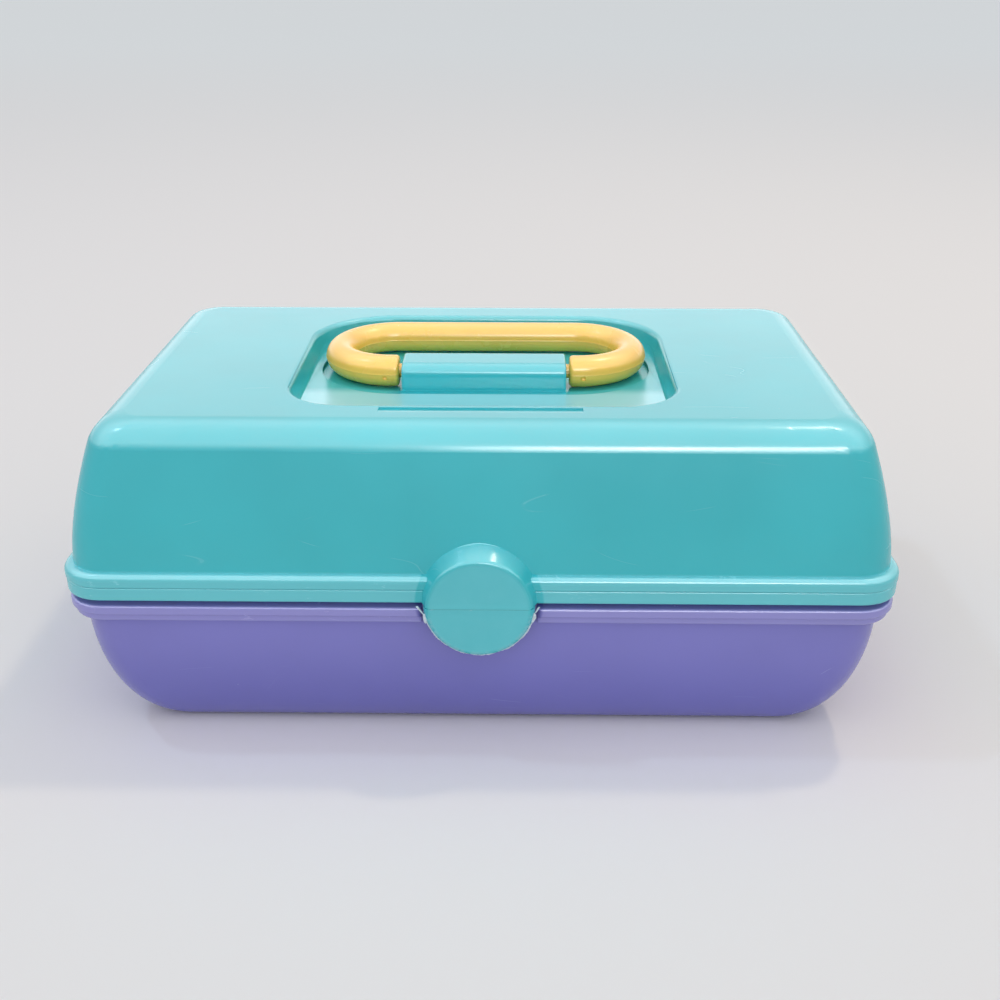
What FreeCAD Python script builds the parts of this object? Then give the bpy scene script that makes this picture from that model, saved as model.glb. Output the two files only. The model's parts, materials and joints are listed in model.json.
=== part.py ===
import FreeCAD, Part
import math
import os

# Two-tone makeup case: lid with swing handle and flap latch, two trays that
# rise with the lid, and a mirror inside the lid. Millimetres, Z up, front is -Y,
# origin at the middle of the bottom.

Vec = FreeCAD.Vector
FULL_TURN = 360.0
QUARTER_TURN = 90.0

# Overall form
rim_width = 330.0          # widest bead of the rim, left to right
rim_depth = 204.0          # widest bead of the rim, front to back
rim_corner = 17.0          # plan corner radius of the widest bead
lid_top = 134.0            # height of the flat top of the lid
wall = 2.5                 # shell wall
overrun = 6.0              # how far a cutting tool runs past what it cuts
pick = 0.002               # how near an edge must lie to be picked by its place
boss_bite = 0.8            # how far a post runs into the wall that carries it
round_steps = 8            # sections along a curved part of a shell

# Clearances shared by mating pieces
running = 0.06             # pin in a turning hole, radial
seat_gap = 0.2             # loose piece in its seat, each side
swing_gap = 0.4            # between pieces that swing past each other

# Base shell
base_rim_top = 64.0
base_bead_height = 4.2
base_bead_inset = 0.8
base_step_height = 3.2
base_step_inset = 2.2
base_wall_inset = 5.1
base_side_sweep = 28.2     # how far the side walls curve in on the way down
base_front_sweep = 19.6    # the same for the front and back walls
base_corner_share = 0.08   # how fast the plan corners tighten downwards
tongue_height = 4.0
tongue_thick = 1.6
tongue_gap = 0.7
foot_ring_width = 12.0
foot_recess = 0.8

# Lid shell
rim_gap = 2.5              # dark line between the two rims
lip_height = 5.8
lip_inset = 0.3
bead_height = 5.5
lid_wall_inset = 3.1
lid_lean = 13.2            # how far the wall leans in up to the top plane
lid_bow = 1.55             # power of the lean; above one the wall bows outwards
lid_top_round = 13.5
lid_wall_steps = 4
lid_corner_share = 0.32    # how fast the plan corners tighten upwards
lip_round = 1.2
bead_round = 2.9           # roll on top of the lid rim
groove_round = 0.8         # groove between the lip and the bead
base_bead_round = 1.2
base_step_round = 1.4

# Handle recess in the lid
recess_half_x = 79.4
recess_half_y = 62.0
recess_front_corner = 24.0
recess_back_corner = 36.0
recess_depth = 9.6
recess_draft = math.radians(14.0)
recess_edge_round = 2.4
recess_floor_round = 2.8
well_depth = 1.0
well_margin = 2.4          # well outline outside the handle
step_half_x = 40.0         # shallow thumb ramp in front of the recess
step_margin = 3.4
step_depth = 0.7
step_run = 5.0             # length over which the ramp runs out

# Handle
handle_tube = 13.5
handle_half_x = 72.0
handle_reach = 50.0        # pivot line to the middle of the grip bar
pivot_y = -10.0
handle_end_round = 1.6
stub_radius = 3.0
stub_bite = 5.0            # stub length inside the block face
block_half_x = 35.2
block_depth = 22.0
block_rise = 5.65          # block top above the pivot line
block_round = 5.0
block_end_round = 1.2
block_end_gap = 1.6        # block face to the end of the handle
plinth_width = 0.8
plinth_height = 0.9

# Latch
disc_radius = 20.4
disc_reach = 4.5           # disc front face ahead of the rim
disc_lift = 1.0            # crease line above the hinge line
disc_flare = 3.3           # growth of the disc radius back to the lid wall
disc_foot = 0.8            # hollow rounding where the disc meets the lid wall
disc_plate = 3.2
disc_round = 2.0
disc_skirt = 2.6
crease_below = 0.1         # top of the flap below the crease line
crease_above = 0.35        # upper half disc above the crease line
crease_depth = 0.1         # crease line behind the disc face
roll_radius = 0.25         # rolled edge on the crease
roll_margin = 1.8
roll_gap = 0.1
notch_margin = 2.2
notch_round = 2.2          # rounded bead ends beside the latch
catch_half_x = 13.0
catch_reach = 3.8
catch_height = 3.0
catch_top_drop = 3.0
catch_round = 1.0
catch_gap = 0.3            # lip of the flap past the catch
lip_drop = 0.8
hook_height = 3.0
hook_margin = 1.0
hook_round = 1.0

# Rear hinge
hinge_inset = 70.0         # middle of each hinge from the side of the rim
hinge_behind = 2.0         # hinge line behind the rim
hinge_drop = 0.75          # hinge line below the lid rim
knuckle_radius = 3.5
pin_radius = 1.5
base_knuckle = 11.0
lid_knuckle = 21.0
knuckle_gap = 0.5
web_depth = 5.0

# Trays and the links that carry them
tray_step = 31.0           # pivot spacing along an arm
side_room = 14.5           # tray side to the base wall
tray_wall = 1.8
tray_floor = 1.8
tray_corner = 10.0
tray_draft = math.radians(2.0)
tray_height = 30.0
tray_lip = 1.2
tray_lip_height = 2.0
tray_lip_round = 0.6
tray_inner_round = 2.0
tray_floor_round = 3.0
lower_tray_z = 41.0
tray_gap = 3.0             # lower tray rim to upper tray floor
mirror_room = 12.7         # upper tray rim to the mirror frame
lower_front = 86.0
lower_back = 66.0
upper_front = 80.0
upper_back = 70.0
partition = 1.6
partition_drop = 5.0
lower_split_y = -22.0
upper_split_y = 4.0
cross_shares = (-1.0 / 3.0, 1.0 / 3.0)
lug_gap = 1.0
lug_thick = 3.0
link_gap = 0.6
link_thick = 3.0
link_half = 5.0            # half width of arms and lugs
pivot_radius = 2.0
pivot_head = 3.4
pivot_head_thick = 1.2
head_gap = 0.3
arm_pivot_y = -4.0
pivot_bite = 1.2           # arm pivot into the base wall
arm_pivot_drop = 8.1       # arm pivot below the rim of the base
boss_radius = 4.6
bracket_low_y = 52.0
bracket_high_y = 84.0
bracket_top_rise = 26.0
bracket_corner = 5.0
screw_rise = 19.0
screw_radius = 1.4
screw_head = 3.0
screw_head_thick = 1.2
screw_length = 9.0
ear_thick = 3.0
divider_thick = 1.5
divider_height = 20.0      # loose divider in a tray of the full height
corner_share = 0.45        # most of a divider that one rounded corner takes
divider_round = 3.0
divider_shares = (-0.34, 0.34)
guide_rib = 1.6
guide_reach = 2.0

# Mirror
frame_half_x = 72.0
frame_half_y = 46.0
frame_corner = 9.0
frame_border = 8.0
frame_height = 4.0
frame_ledge = 1.2
mirror_overlap = 3.0
mirror_thick = 2.0
frame_boss = 3.6
frame_screw_inset = 4.0
frame_screw_radius = 1.1
frame_screw_head = 2.2
frame_screw_head_thick = 1.4
frame_screw_bite = 1.2

# Values that follow from the ones above
half_w = rim_width / 2
half_d = rim_depth / 2
base_wall_top = base_rim_top - base_bead_height - base_step_height
lid_rim_bottom = base_rim_top + rim_gap
lip_top = lid_rim_bottom + lip_height
bead_top = lip_top + bead_height
hinge_half_x = half_w - hinge_inset
hinge_y = half_d + hinge_behind
hinge_z = lid_rim_bottom - hinge_drop
disc_z = hinge_z + disc_lift
disc_front = -half_d - disc_reach
recess_floor = lid_top - recess_depth
well_floor = recess_floor - well_depth
tube_radius = handle_tube / 2
pivot_z = well_floor + swing_gap + tube_radius
handle_bend = handle_reach / 2
bend_x = handle_half_x - tube_radius - handle_bend
bend_y = pivot_y + handle_bend
stub_face_x = block_half_x + block_end_gap
block_top = pivot_z + block_rise


def swept_share(z, depth):
    """How much of the base wall's inward curve is done at height z."""
    drop = min(max(base_wall_top - z, 0), depth) / depth
    return 1 - math.sqrt(1 - drop * drop)


def base_inset_y(z):
    """Distance of the front of the base inside the rim at height z."""
    return base_wall_inset + base_front_sweep * swept_share(z, base_wall_top)


def lid_inset(z):
    """Distance of the lid wall inside the rim at height z."""
    rise = max(z - bead_top, 0) / (lid_top - bead_top)
    return lid_wall_inset + lid_lean * rise ** lid_bow


def lid_slant(z):
    """Angle of the lid wall from upright at height z."""
    rise = max(z - bead_top, 0) / (lid_top - bead_top)
    return math.atan(lid_lean * lid_bow * rise ** (lid_bow - 1) / (lid_top - bead_top))


def base_inner_x(z):
    sweep = base_side_sweep * swept_share(z, base_wall_top - wall)
    return half_w - base_wall_inset - wall - sweep


def lid_inner_x(z):
    return half_w - lid_inset(z) - wall / math.cos(lid_slant(z))


tray_half = base_inner_x(lower_tray_z) - side_room
lug_in = tray_half + lug_gap
lug_out = lug_in + lug_thick
link_in = lug_out + link_gap
link_out = link_in + link_thick
upper_tray_z = lower_tray_z + tray_height + tray_gap
arm_z = base_rim_top - arm_pivot_drop
arm_pivot = (arm_pivot_y, arm_z)
arm_lower = (arm_pivot_y - tray_step, arm_z)
arm_upper = (arm_pivot_y - 2 * tray_step, arm_z)
lid_lower = (hinge_y - tray_step, hinge_z)
lid_upper = (hinge_y - 2 * tray_step, hinge_z)
frame_top = well_floor - wall - seat_gap
frame_bottom = frame_top - frame_height
upper_height = frame_bottom - mirror_room - upper_tray_z


# Plain helpers

def rounded_rect(half_x, half_y, corner, z, back_corner=None, mid_y=0.0):
    """Closed outline of four sides and four corner arcs at height z."""
    back = corner if back_corner is None else back_corner
    corners = ((1, -1, corner), (1, 1, back), (-1, 1, back), (-1, -1, corner))
    arcs = []
    for index, (side_x, side_y, radius) in enumerate(corners):
        start = (index - 1) * QUARTER_TURN
        mid = Vec(side_x * (half_x - radius), mid_y + side_y * (half_y - radius), z)
        points = []
        for turn in (0, QUARTER_TURN / 2, QUARTER_TURN):
            angle = math.radians(start + turn)
            points.append(mid + Vec(radius * math.cos(angle), radius * math.sin(angle), 0))
        arcs.append(points)
    edges = []
    for index, points in enumerate(arcs):
        following = arcs[(index + 1) % len(arcs)]
        edges.append(Part.Arc(*points).toShape())
        edges.append(Part.LineSegment(points[-1], following[0]).toShape())
    return Part.Wire(edges)


def prism(outline, height):
    return Part.Face(outline).extrude(Vec(0, 0, height))


def box(x0, x1, y0, y1, z0, z1):
    return Part.makeBox(x1 - x0, y1 - y0, z1 - z0, Vec(x0, y0, z0))


def rod_x(x0, x1, y, z, radius):
    return Part.makeCylinder(radius, x1 - x0, Vec(x0, y, z), Vec(1, 0, 0))


def rod_y(y0, y1, x, z, radius):
    return Part.makeCylinder(radius, y1 - y0, Vec(x, y0, z), Vec(0, 1, 0))


def rod_z(z0, z1, x, y, radius):
    return Part.makeCylinder(radius, z1 - z0, Vec(x, y, z0), Vec(0, 0, 1))


def joined(shapes):
    whole = shapes[0].multiFuse(shapes[1:]) if len(shapes) > 1 else shapes[0]
    return whole.removeSplitter()


def edges_at(shape, z):
    """Edges that lie flat at height z."""
    found = []
    for edge in shape.Edges:
        bounds = edge.BoundBox
        if abs(bounds.ZMin - z) < pick and abs(bounds.ZMax - z) < pick:
            found.append(edge)
    return found


def eased(shape, radius, z):
    return shape.makeFillet(radius, edges_at(shape, z))


def bar_x(x0, x1, start, end, radius):
    """Flat round-ended bar in the side plane from one (y, z) point to another."""
    along = Vec(0, end[0] - start[0], end[1] - start[1])
    across = Vec(0, -along.z, along.y).normalize() * radius
    first = Vec(x0, start[0], start[1])
    last = first + along
    beyond = along.normalize() * radius
    edges = [
        Part.LineSegment(first + across, last + across).toShape(),
        Part.Arc(last + across, last + beyond, last - across).toShape(),
        Part.LineSegment(last - across, first - across).toShape(),
        Part.Arc(first - across, first - beyond, first + across).toShape(),
    ]
    return Part.Face(Part.Wire(edges)).extrude(Vec(x1 - x0, 0, 0))


def mirrored(shape):
    return shape.mirror(Vec(0, 0, 0), Vec(1, 0, 0))


def both_sides(shape):
    return [shape, mirrored(shape)]


# Shell forms

def rim_slab(inset, low, high, low_round, high_round):
    """One bead of a rim: a flat slab with rounded edges."""
    outline = rounded_rect(half_w - inset, half_d - inset, rim_corner - inset, low)
    slab = prism(outline, high - low)
    slab = eased(slab, low_round, low)
    return eased(slab, high_round, high)


def lid_level(inset, offset, z):
    """Section of the lid wall at height z."""
    corner = rim_corner - lid_corner_share * inset - offset
    return rounded_rect(half_w - inset - offset, half_d - inset - offset, corner, z)


def base_level(turn, offset):
    """Section of the base wall at an angle along its elliptical curve."""
    sweep = 1 - math.cos(turn)
    side = base_wall_inset + base_side_sweep * sweep + offset
    front = base_wall_inset + base_front_sweep * sweep + offset
    corner = rim_corner - base_corner_share * side - offset
    z = base_wall_top - (base_wall_top - offset) * math.sin(turn)
    return rounded_rect(half_w - side, half_d - front, corner, z)


def lid_profile():
    """Wall and rounded top edge of the lid: inset, height and slant of each point."""
    start = lid_top - lid_top_round
    for _ in range(lid_wall_steps):
        start = lid_top - lid_top_round * (1 - math.sin(lid_slant(start)))
    points = []
    for step in range(lid_wall_steps + 1):
        z = bead_top + (start - bead_top) * step / lid_wall_steps
        points.append((lid_inset(z), z, lid_slant(z)))
    slant = points[-1][2]
    centre_in = points[-1][0] + lid_top_round * math.cos(slant)
    centre_z = lid_top - lid_top_round
    for step in range(1, round_steps + 1):
        angle = slant + (math.pi / 2 - slant) * step / round_steps
        inset = centre_in - lid_top_round * math.cos(angle)
        points.append((inset, centre_z + lid_top_round * math.sin(angle), angle))
    return points


def lid_form(offset):
    """Bowed lid wall and rounded top, taken in squarely by offset."""
    levels = []
    for inset, z, slant in lid_profile():
        levels.append(lid_level(inset, offset * math.cos(slant), z - offset * math.sin(slant)))
    wall_part = Part.makeLoft(levels[:lid_wall_steps + 1], True, False)
    crown = Part.makeLoft(levels[lid_wall_steps:], True, False)
    foot = lid_level(lid_wall_inset, offset, lip_top)
    skirt = prism(foot, bead_top - lip_top)
    return skirt.multiFuse([wall_part, crown])


def base_form(offset):
    """Boat-like base, taken in by the wall thickness offset, up into its rim."""
    ring = []
    for step in range(round_steps + 1):
        ring.append(base_level(math.pi / 2 * step / round_steps, offset))
    hull = Part.makeLoft(ring, True, False)
    return hull.fuse(prism(base_level(0, offset), base_step_height))


def base_cavity():
    """Room inside the base, with a straight mouth through the rim."""
    mouth = prism(base_level(0, wall), base_rim_top - base_wall_top + overrun)
    return base_form(wall).fuse(mouth)


def lid_cavity():
    """Room inside the lid: the inner form and a straight mouth through the rim."""
    mouth = lid_level(lid_wall_inset, wall, lid_rim_bottom - overrun)
    return lid_form(wall).fuse(prism(mouth, bead_top - lid_rim_bottom + overrun))


# Latch pieces

def disc():
    """Whole latch disc, flaring back into the lid wall with a hollow rounding at its foot."""
    foot_out = disc_radius + disc_flare + disc_foot
    wall_y = -half_d + lid_inset(disc_z + foot_out)
    foot_y = wall_y - disc_foot
    back = wall_y + wall / 2
    mid = disc_foot * math.sqrt(0.5)

    def at(radius, y):
        return Vec(0, y, disc_z + radius)

    face = (at(0, disc_front), at(disc_radius, disc_front))
    root = (at(disc_radius + disc_flare, foot_y), at(foot_out, wall_y))
    hollow = at(foot_out - mid, foot_y + mid)
    edges = [
        Part.LineSegment(*face).toShape(),
        Part.LineSegment(face[1], root[0]).toShape(),
        Part.Arc(root[0], hollow, root[1]).toShape(),
        Part.LineSegment(root[1], at(foot_out, back)).toShape(),
        Part.LineSegment(at(foot_out, back), at(0, back)).toShape(),
        Part.LineSegment(at(0, back), face[0]).toShape(),
    ]
    body = Part.Face(Part.Wire(edges)).revolve(face[0], Vec(0, 1, 0), FULL_TURN)
    front = [e for e in body.Edges if e.BoundBox.YMax < disc_front + disc_round / 2]
    return body.makeFillet(disc_round, front)


def crease_roll(radius):
    half = disc_radius - roll_margin
    return rod_x(-half, half, disc_front + crease_depth, disc_z, radius)


def lid_half_disc():
    """Upper half of the disc, hollow behind its front plate."""
    low = disc_z + crease_above
    keep = box(-half_w, half_w, disc_front - overrun, 0, low, lid_top)
    hollow = rod_y(disc_front + disc_plate, 0, 0, disc_z, disc_radius - disc_skirt)
    half = disc().common(keep).cut(lid_cavity())
    return half.cut(hollow).cut(crease_roll(roll_radius + roll_gap))


def latch_hook():
    """Lip on the back of the flap that stands under the catch of the base."""
    top = catch_bottom() - lip_drop
    tip = catch_tip() - catch_gap
    back = disc_front + disc_plate
    half = catch_half_x - hook_margin
    lip = box(-half, half, back, tip, top - hook_height, top)
    tips = [e for e in lip.Edges if e.BoundBox.YMin > tip - pick]
    return lip.makeFillet(hook_round, tips)


def latch_flap():
    high = disc_z - crease_below
    keep = box(-half_w, half_w, disc_front - overrun, disc_front + disc_plate, 0, high)
    plate = disc().common(keep)
    return joined([plate, crease_roll(roll_radius), latch_hook()])


def catch_bottom():
    return base_rim_top - catch_top_drop - catch_height


def catch_tip():
    return -half_d + base_wall_inset - catch_reach


def base_catch():
    """Rounded ridge on the base wall below the rim notch."""
    inner = -half_d + base_wall_inset + wall / 2
    low = catch_bottom()
    ridge = box(-catch_half_x, catch_half_x, catch_tip(), inner, low, low + catch_height)
    front = [e for e in ridge.Edges if e.BoundBox.YMax < catch_tip() + pick]
    return ridge.makeFillet(catch_round, front)


# Rear hinge

def hinge_sets():
    """Knuckle spans along X for one hinge: base spans and the lid span."""
    lid_span = (hinge_half_x - lid_knuckle / 2, hinge_half_x + lid_knuckle / 2)
    outer = lid_span[1] + knuckle_gap
    inner = lid_span[0] - knuckle_gap
    return ((inner - base_knuckle, inner), (outer, outer + base_knuckle)), lid_span


def knuckle(span, up):
    """One knuckle with the web that ties it to its rim."""
    barrel = rod_x(span[0], span[1], hinge_y, hinge_z, knuckle_radius)
    low = hinge_z if up else hinge_z - knuckle_radius
    web = box(span[0], span[1], hinge_y - web_depth, hinge_y, low, low + knuckle_radius)
    return barrel.fuse(web)


def knuckle_room(span):
    grow = knuckle_gap
    return rod_x(span[0] - grow, span[1] + grow, hinge_y, hinge_z, knuckle_radius + swing_gap)


def hinge_pin():
    base_spans, lid_span = hinge_sets()
    return rod_x(base_spans[0][0], base_spans[1][1], hinge_y, hinge_z, pin_radius)


# Shells

def base_rim():
    bead_low = base_rim_top - base_bead_height
    bead = rim_slab(base_bead_inset, bead_low, base_rim_top, base_bead_round, base_bead_round)
    step_high = bead_low + base_bead_round
    step = rim_slab(base_step_inset, base_wall_top, step_high, base_step_round, base_bead_round / 2)
    return bead.fuse(step)


def rim_notch():
    """Gap in the base rim that leaves room for the latch flap."""
    half = disc_radius + notch_margin
    back = -half_d + base_wall_inset
    face = -half_d + base_bead_inset
    low = base_wall_top - overrun
    mid = notch_round * math.sqrt(0.5)
    right = [Vec(half, back, low), Vec(half, face + notch_round, low)]
    bend = Vec(half + notch_round - mid, face + notch_round - mid, low)
    out = [Vec(half + notch_round, face, low), Vec(half + notch_round, face - overrun, low)]
    edges = []
    for side in (1, -1):
        a, b, c, d, e = [Vec(side * v.x, v.y, v.z) for v in right + [bend] + out]
        edges.append(Part.LineSegment(a, b).toShape())
        edges.append(Part.Arc(b, c, d).toShape())
        edges.append(Part.LineSegment(d, e).toShape())
    across = Vec(2 * half, 0, 0)
    edges.append(Part.LineSegment(right[0], right[0] - across).toShape())
    edges.append(Part.LineSegment(out[1], Vec(-out[1].x, out[1].y, low)).toShape())
    outline = Part.Wire(Part.sortEdges(edges)[0])
    return prism(outline, base_rim_top - low + overrun)


def tongue():
    """Thin lip of the base that stands inside the lid rim."""
    take_in = lid_wall_inset + wall + tongue_gap
    low = base_rim_top - base_bead_height
    high = base_rim_top + tongue_height
    corner = rim_corner - lid_corner_share * lid_wall_inset - wall - tongue_gap
    outer = rounded_rect(half_w - take_in, half_d - take_in, corner, low)
    deep = take_in + tongue_thick
    inner = rounded_rect(half_w - deep, half_d - deep, corner - tongue_thick, low)
    return prism(outer, high - low).cut(prism(inner, high - low))


def arm_bore():
    """Blind hole in the base wall that holds the end of an arm pivot."""
    start = base_inner_x(arm_z) - boss_radius
    return rod_x(start, base_inner_x(arm_z) + pivot_bite, arm_pivot[0], arm_pivot[1], pivot_radius)


def base_shell():
    spans, lid_span = hinge_sets()
    body = joined([base_form(0), base_rim()])
    body = body.cut(rim_notch())
    body = body.cut(base_cavity())
    knuckles = [knuckle(span, False) for span in spans]
    extras = [base_catch(), tongue()]
    for piece in knuckles:
        extras.extend(both_sides(piece))
    body = joined([body] + extras)
    cuts = both_sides(arm_bore())
    cuts += both_sides(hinge_pin())
    cuts += both_sides(knuckle_room(lid_span))
    cuts.append(foot_panel())
    for tool in cuts:
        body = body.cut(tool)
    return body


def foot_panel():
    """Shallow panel in the bottom, so that the case stands on a ring."""
    side = base_wall_inset + base_side_sweep + foot_ring_width
    front = base_wall_inset + base_front_sweep + foot_ring_width
    outline = rounded_rect(half_w - side, half_d - front, foot_ring_width, -overrun)
    return prism(outline, overrun + foot_recess)


def recess_tool(grow, floor_z, floor_round):
    """Handle recess, grown outwards by the given amount down to floor_z."""
    rise = lid_top - floor_z + overrun
    slope = math.tan(recess_draft)
    low_in = (lid_top - floor_z) * slope
    high_out = overrun * slope
    wires = []
    for out, z in ((grow - low_in, floor_z), (grow + high_out, floor_z + rise)):
        wires.append(
            rounded_rect(
                recess_half_x + out, recess_half_y + out, recess_front_corner + out, z,
                back_corner=recess_back_corner + out,
            )
        )
    tool = Part.makeLoft(wires, True, True)
    return eased(tool, floor_round, floor_z)


def recess_rim(body):
    """Edges of the flat top that run round the recess."""
    found = []
    for edge in edges_at(body, lid_top):
        bounds = edge.BoundBox
        if max(abs(bounds.XMin), abs(bounds.XMax)) < recess_half_x + recess_edge_round:
            if bounds.YMin > -recess_half_y - recess_edge_round:
                if bounds.YMax < recess_half_y + recess_edge_round:
                    found.append(edge)
    return found


def well_tool(grow, floor_z):
    """Stadium-shaped well round the folded handle."""
    radius = handle_bend + tube_radius + well_margin + grow
    outline = rounded_rect(bend_x + radius, radius, radius - seat_gap, floor_z, mid_y=bend_y)
    return prism(outline, recess_floor - floor_z + overrun / 2)


def handle_block():
    """Raised block that holds both ends of the handle."""
    y0 = pivot_y - block_depth / 2
    y1 = pivot_y + block_depth / 2
    body = box(-block_half_x, block_half_x, y0, y1, well_floor - wall / 2, block_top)
    long_edges = [e for e in edges_at(body, block_top) if e.BoundBox.XLength > block_half_x]
    body = body.makeFillet(block_round, long_edges)
    ends = []
    for edge in body.Edges:
        if edge.BoundBox.XLength < seat_gap and edge.BoundBox.ZMax > pivot_z + seat_gap:
            ends.append(edge)
    body = body.makeFillet(block_end_round, ends)
    foot_y = (y0 - plinth_width, y1 + plinth_width)
    foot_z = (well_floor - wall / 2, recess_floor + plinth_height)
    return body.fuse(box(-block_half_x, block_half_x, *foot_y, *foot_z))


def block_core():
    y0 = pivot_y - block_depth / 2
    y1 = pivot_y + block_depth / 2
    half = block_half_x - wall
    core = box(-half, half, y0 + wall, y1 - wall, well_floor - wall - overrun, block_top - wall)
    tops = [e for e in edges_at(core, block_top - wall) if e.BoundBox.XLength > half]
    return core.makeFillet(block_round - wall / 2, tops)


def front_step():
    """Shallow thumb ramp in front of the recess, deepest along its back line."""
    back = -recess_half_y - step_margin
    slope = step_depth / step_run
    front = back - step_run - overrun
    corners = (
        (back, lid_top - step_depth),
        (back, lid_top + overrun),
        (front, lid_top + overrun),
        (front, lid_top + overrun * slope),
    )
    points = [Vec(-step_half_x, y, z) for y, z in corners]
    return Part.Face(Part.makePolygon(points + points[:1])).extrude(Vec(2 * step_half_x, 0, 0))


def bracket_screw_points():
    mid = (bracket_low_y + bracket_high_y) / 2
    reach = (bracket_high_y - bracket_low_y) / 2 - bracket_corner
    return ((mid - reach, hinge_z + screw_rise), (mid + reach, hinge_z + screw_rise))


def frame_screw_points():
    x = frame_half_x - frame_screw_inset
    y = frame_half_y - frame_screw_inset
    return ((x, y), (-x, y), (-x, -y), (x, -y))


def lid_rim():
    lip = rim_slab(lip_inset, lid_rim_bottom, lip_top, lip_round, groove_round)
    bead = rim_slab(0, lip_top, bead_top, groove_round, bead_round)
    return [lip, bead]


def lid_shell():
    spans, lid_span = hinge_sets()
    body = joined(lid_rim() + [lid_form(0)])
    body = body.cut(front_step())
    recess = recess_tool(0, recess_floor, recess_floor_round)
    body = body.cut(recess).cut(well_tool(0, well_floor))
    body = body.makeFillet(recess_edge_round, recess_rim(body))
    bump = recess_tool(wall, recess_floor - wall, recess_floor_round + wall / 2)
    bump = bump.fuse(well_tool(wall, well_floor - wall))
    body = body.cut(lid_cavity().cut(bump))
    extras = [lid_half_disc(), handle_block()]
    extras += both_sides(knuckle(lid_span, True))
    for y, z in bracket_screw_points():
        end = lid_inner_x(z) + boss_bite
        extras += both_sides(rod_x(link_out, end, y, z, boss_radius))
    bed = recess_tool(wall / 2, recess_floor - wall / 2, recess_floor_round + wall / 4)
    for x, y in frame_screw_points():
        extras.append(rod_z(frame_top, lid_top - wall / 2, x, y, frame_boss).cut(bed))
    body = joined([body] + extras)
    cuts = [block_core()]
    stub_hole = stub_radius + running
    cuts += both_sides(rod_x(block_half_x - wall - overrun, stub_face_x, pivot_y, pivot_z, stub_hole))
    cuts += both_sides(rod_x(lid_span[0], lid_span[1], hinge_y, hinge_z, pin_radius + running))
    for span in spans:
        cuts += both_sides(knuckle_room(span))
    for y, z in bracket_screw_points():
        cuts += both_sides(rod_x(link_in, link_in + screw_length, y, z, screw_radius))
    for x, y in frame_screw_points():
        cuts.append(rod_z(frame_bottom, frame_screw_tip(), x, y, frame_screw_radius))
    for tool in cuts:
        body = body.cut(tool)
    return body


# Handle

def handle():
    """Looped tube with a stub pin at each end."""
    front = pivot_y
    back = pivot_y + handle_reach
    z = pivot_z

    def point(x, y):
        return Vec(x, y, z)

    outer = bend_x + handle_bend
    right_bend = Part.Arc(point(bend_x, front), point(outer, bend_y), point(bend_x, back))
    left_bend = Part.Arc(point(-bend_x, back), point(-outer, bend_y), point(-bend_x, front))
    edges = [
        Part.LineSegment(point(stub_face_x, front), point(bend_x, front)).toShape(),
        right_bend.toShape(),
        Part.LineSegment(point(bend_x, back), point(-bend_x, back)).toShape(),
        left_bend.toShape(),
        Part.LineSegment(point(-bend_x, front), point(-stub_face_x, front)).toShape(),
    ]
    ring = Part.Circle(point(stub_face_x, front), Vec(1, 0, 0), tube_radius).toShape()
    tube = Part.Wire(edges).makePipeShell([Part.Wire([ring])], True, False)
    rims = []
    for edge in tube.Edges:
        bounds = edge.BoundBox
        if bounds.XLength < pick and abs(abs(bounds.XMin) - stub_face_x) < pick:
            rims.append(edge)
    tube = tube.makeFillet(handle_end_round, rims)
    stub = rod_x(block_half_x - stub_bite, stub_face_x + tube_radius / 2, front, z, stub_radius)
    return joined([tube] + both_sides(stub))


# Trays

def tray_form(half_x, front, back, low, high, grow):
    """Tapered open-box form between two heights, taken in by grow."""
    mid_y = (back - front) / 2
    half_y = (back + front) / 2
    wires = []
    for z in (low, high):
        taper = (high - z) * math.tan(tray_draft)
        take_in = taper - grow
        corner = tray_corner - taper + grow
        wires.append(rounded_rect(half_x - take_in, half_y - take_in, corner, z, mid_y=mid_y))
    return Part.makeLoft(wires, True, True)


def tray_half_at_top():
    return tray_half - tray_lip


def tray_walls(front, back, low, height):
    """Open tray with a rolled lip round its rim."""
    half = tray_half_at_top()
    high = low + height
    outer = eased(tray_form(half, front, back, low, high, 0), tray_floor_round, low)
    mid_y = (back - front) / 2
    half_y = (back + front) / 2 + tray_lip
    brim = rounded_rect(tray_half, half_y, tray_corner + tray_lip, high - tray_lip_height, mid_y=mid_y)
    lip = eased(prism(brim, tray_lip_height), tray_lip_round, high)
    inner = tray_form(half, front, back, low + tray_floor, high + tray_floor, -tray_wall)
    inner = eased(inner, tray_inner_round, low + tray_floor)
    return outer.fuse(lip), inner


def tray_grid(back, low, height, split_y):
    """One long partition, and cross partitions behind it."""
    top = low + height - partition_drop
    half = tray_half_at_top()
    ribs = [box(-half, half, split_y - partition / 2, split_y + partition / 2, low, top)]
    for share in cross_shares:
        x = share * half
        ribs.append(box(x - partition / 2, x + partition / 2, split_y, back, low, top))
    return ribs


def divider_places():
    """Places of the loose dividers across the front row of a tray."""
    return [share * tray_half_at_top() for share in divider_shares]


def divider_guides(front, low, height, split_y):
    """Pairs of ribs that hold a loose divider upright."""
    ribs = []
    top = low + divider_height * height / tray_height
    slot = divider_thick / 2 + seat_gap
    front_span = (-front, -front + tray_wall + guide_reach)
    back_span = (split_y - partition / 2 - guide_reach, split_y)
    for x in divider_places():
        for side in (-1, 1):
            near = x + side * (slot + guide_rib / 2)
            for span in (front_span, back_span):
                rib = (near - guide_rib / 2, near + guide_rib / 2)
                ribs.append(box(*rib, *span, low + tray_floor / 2, top))
    return ribs


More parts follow.
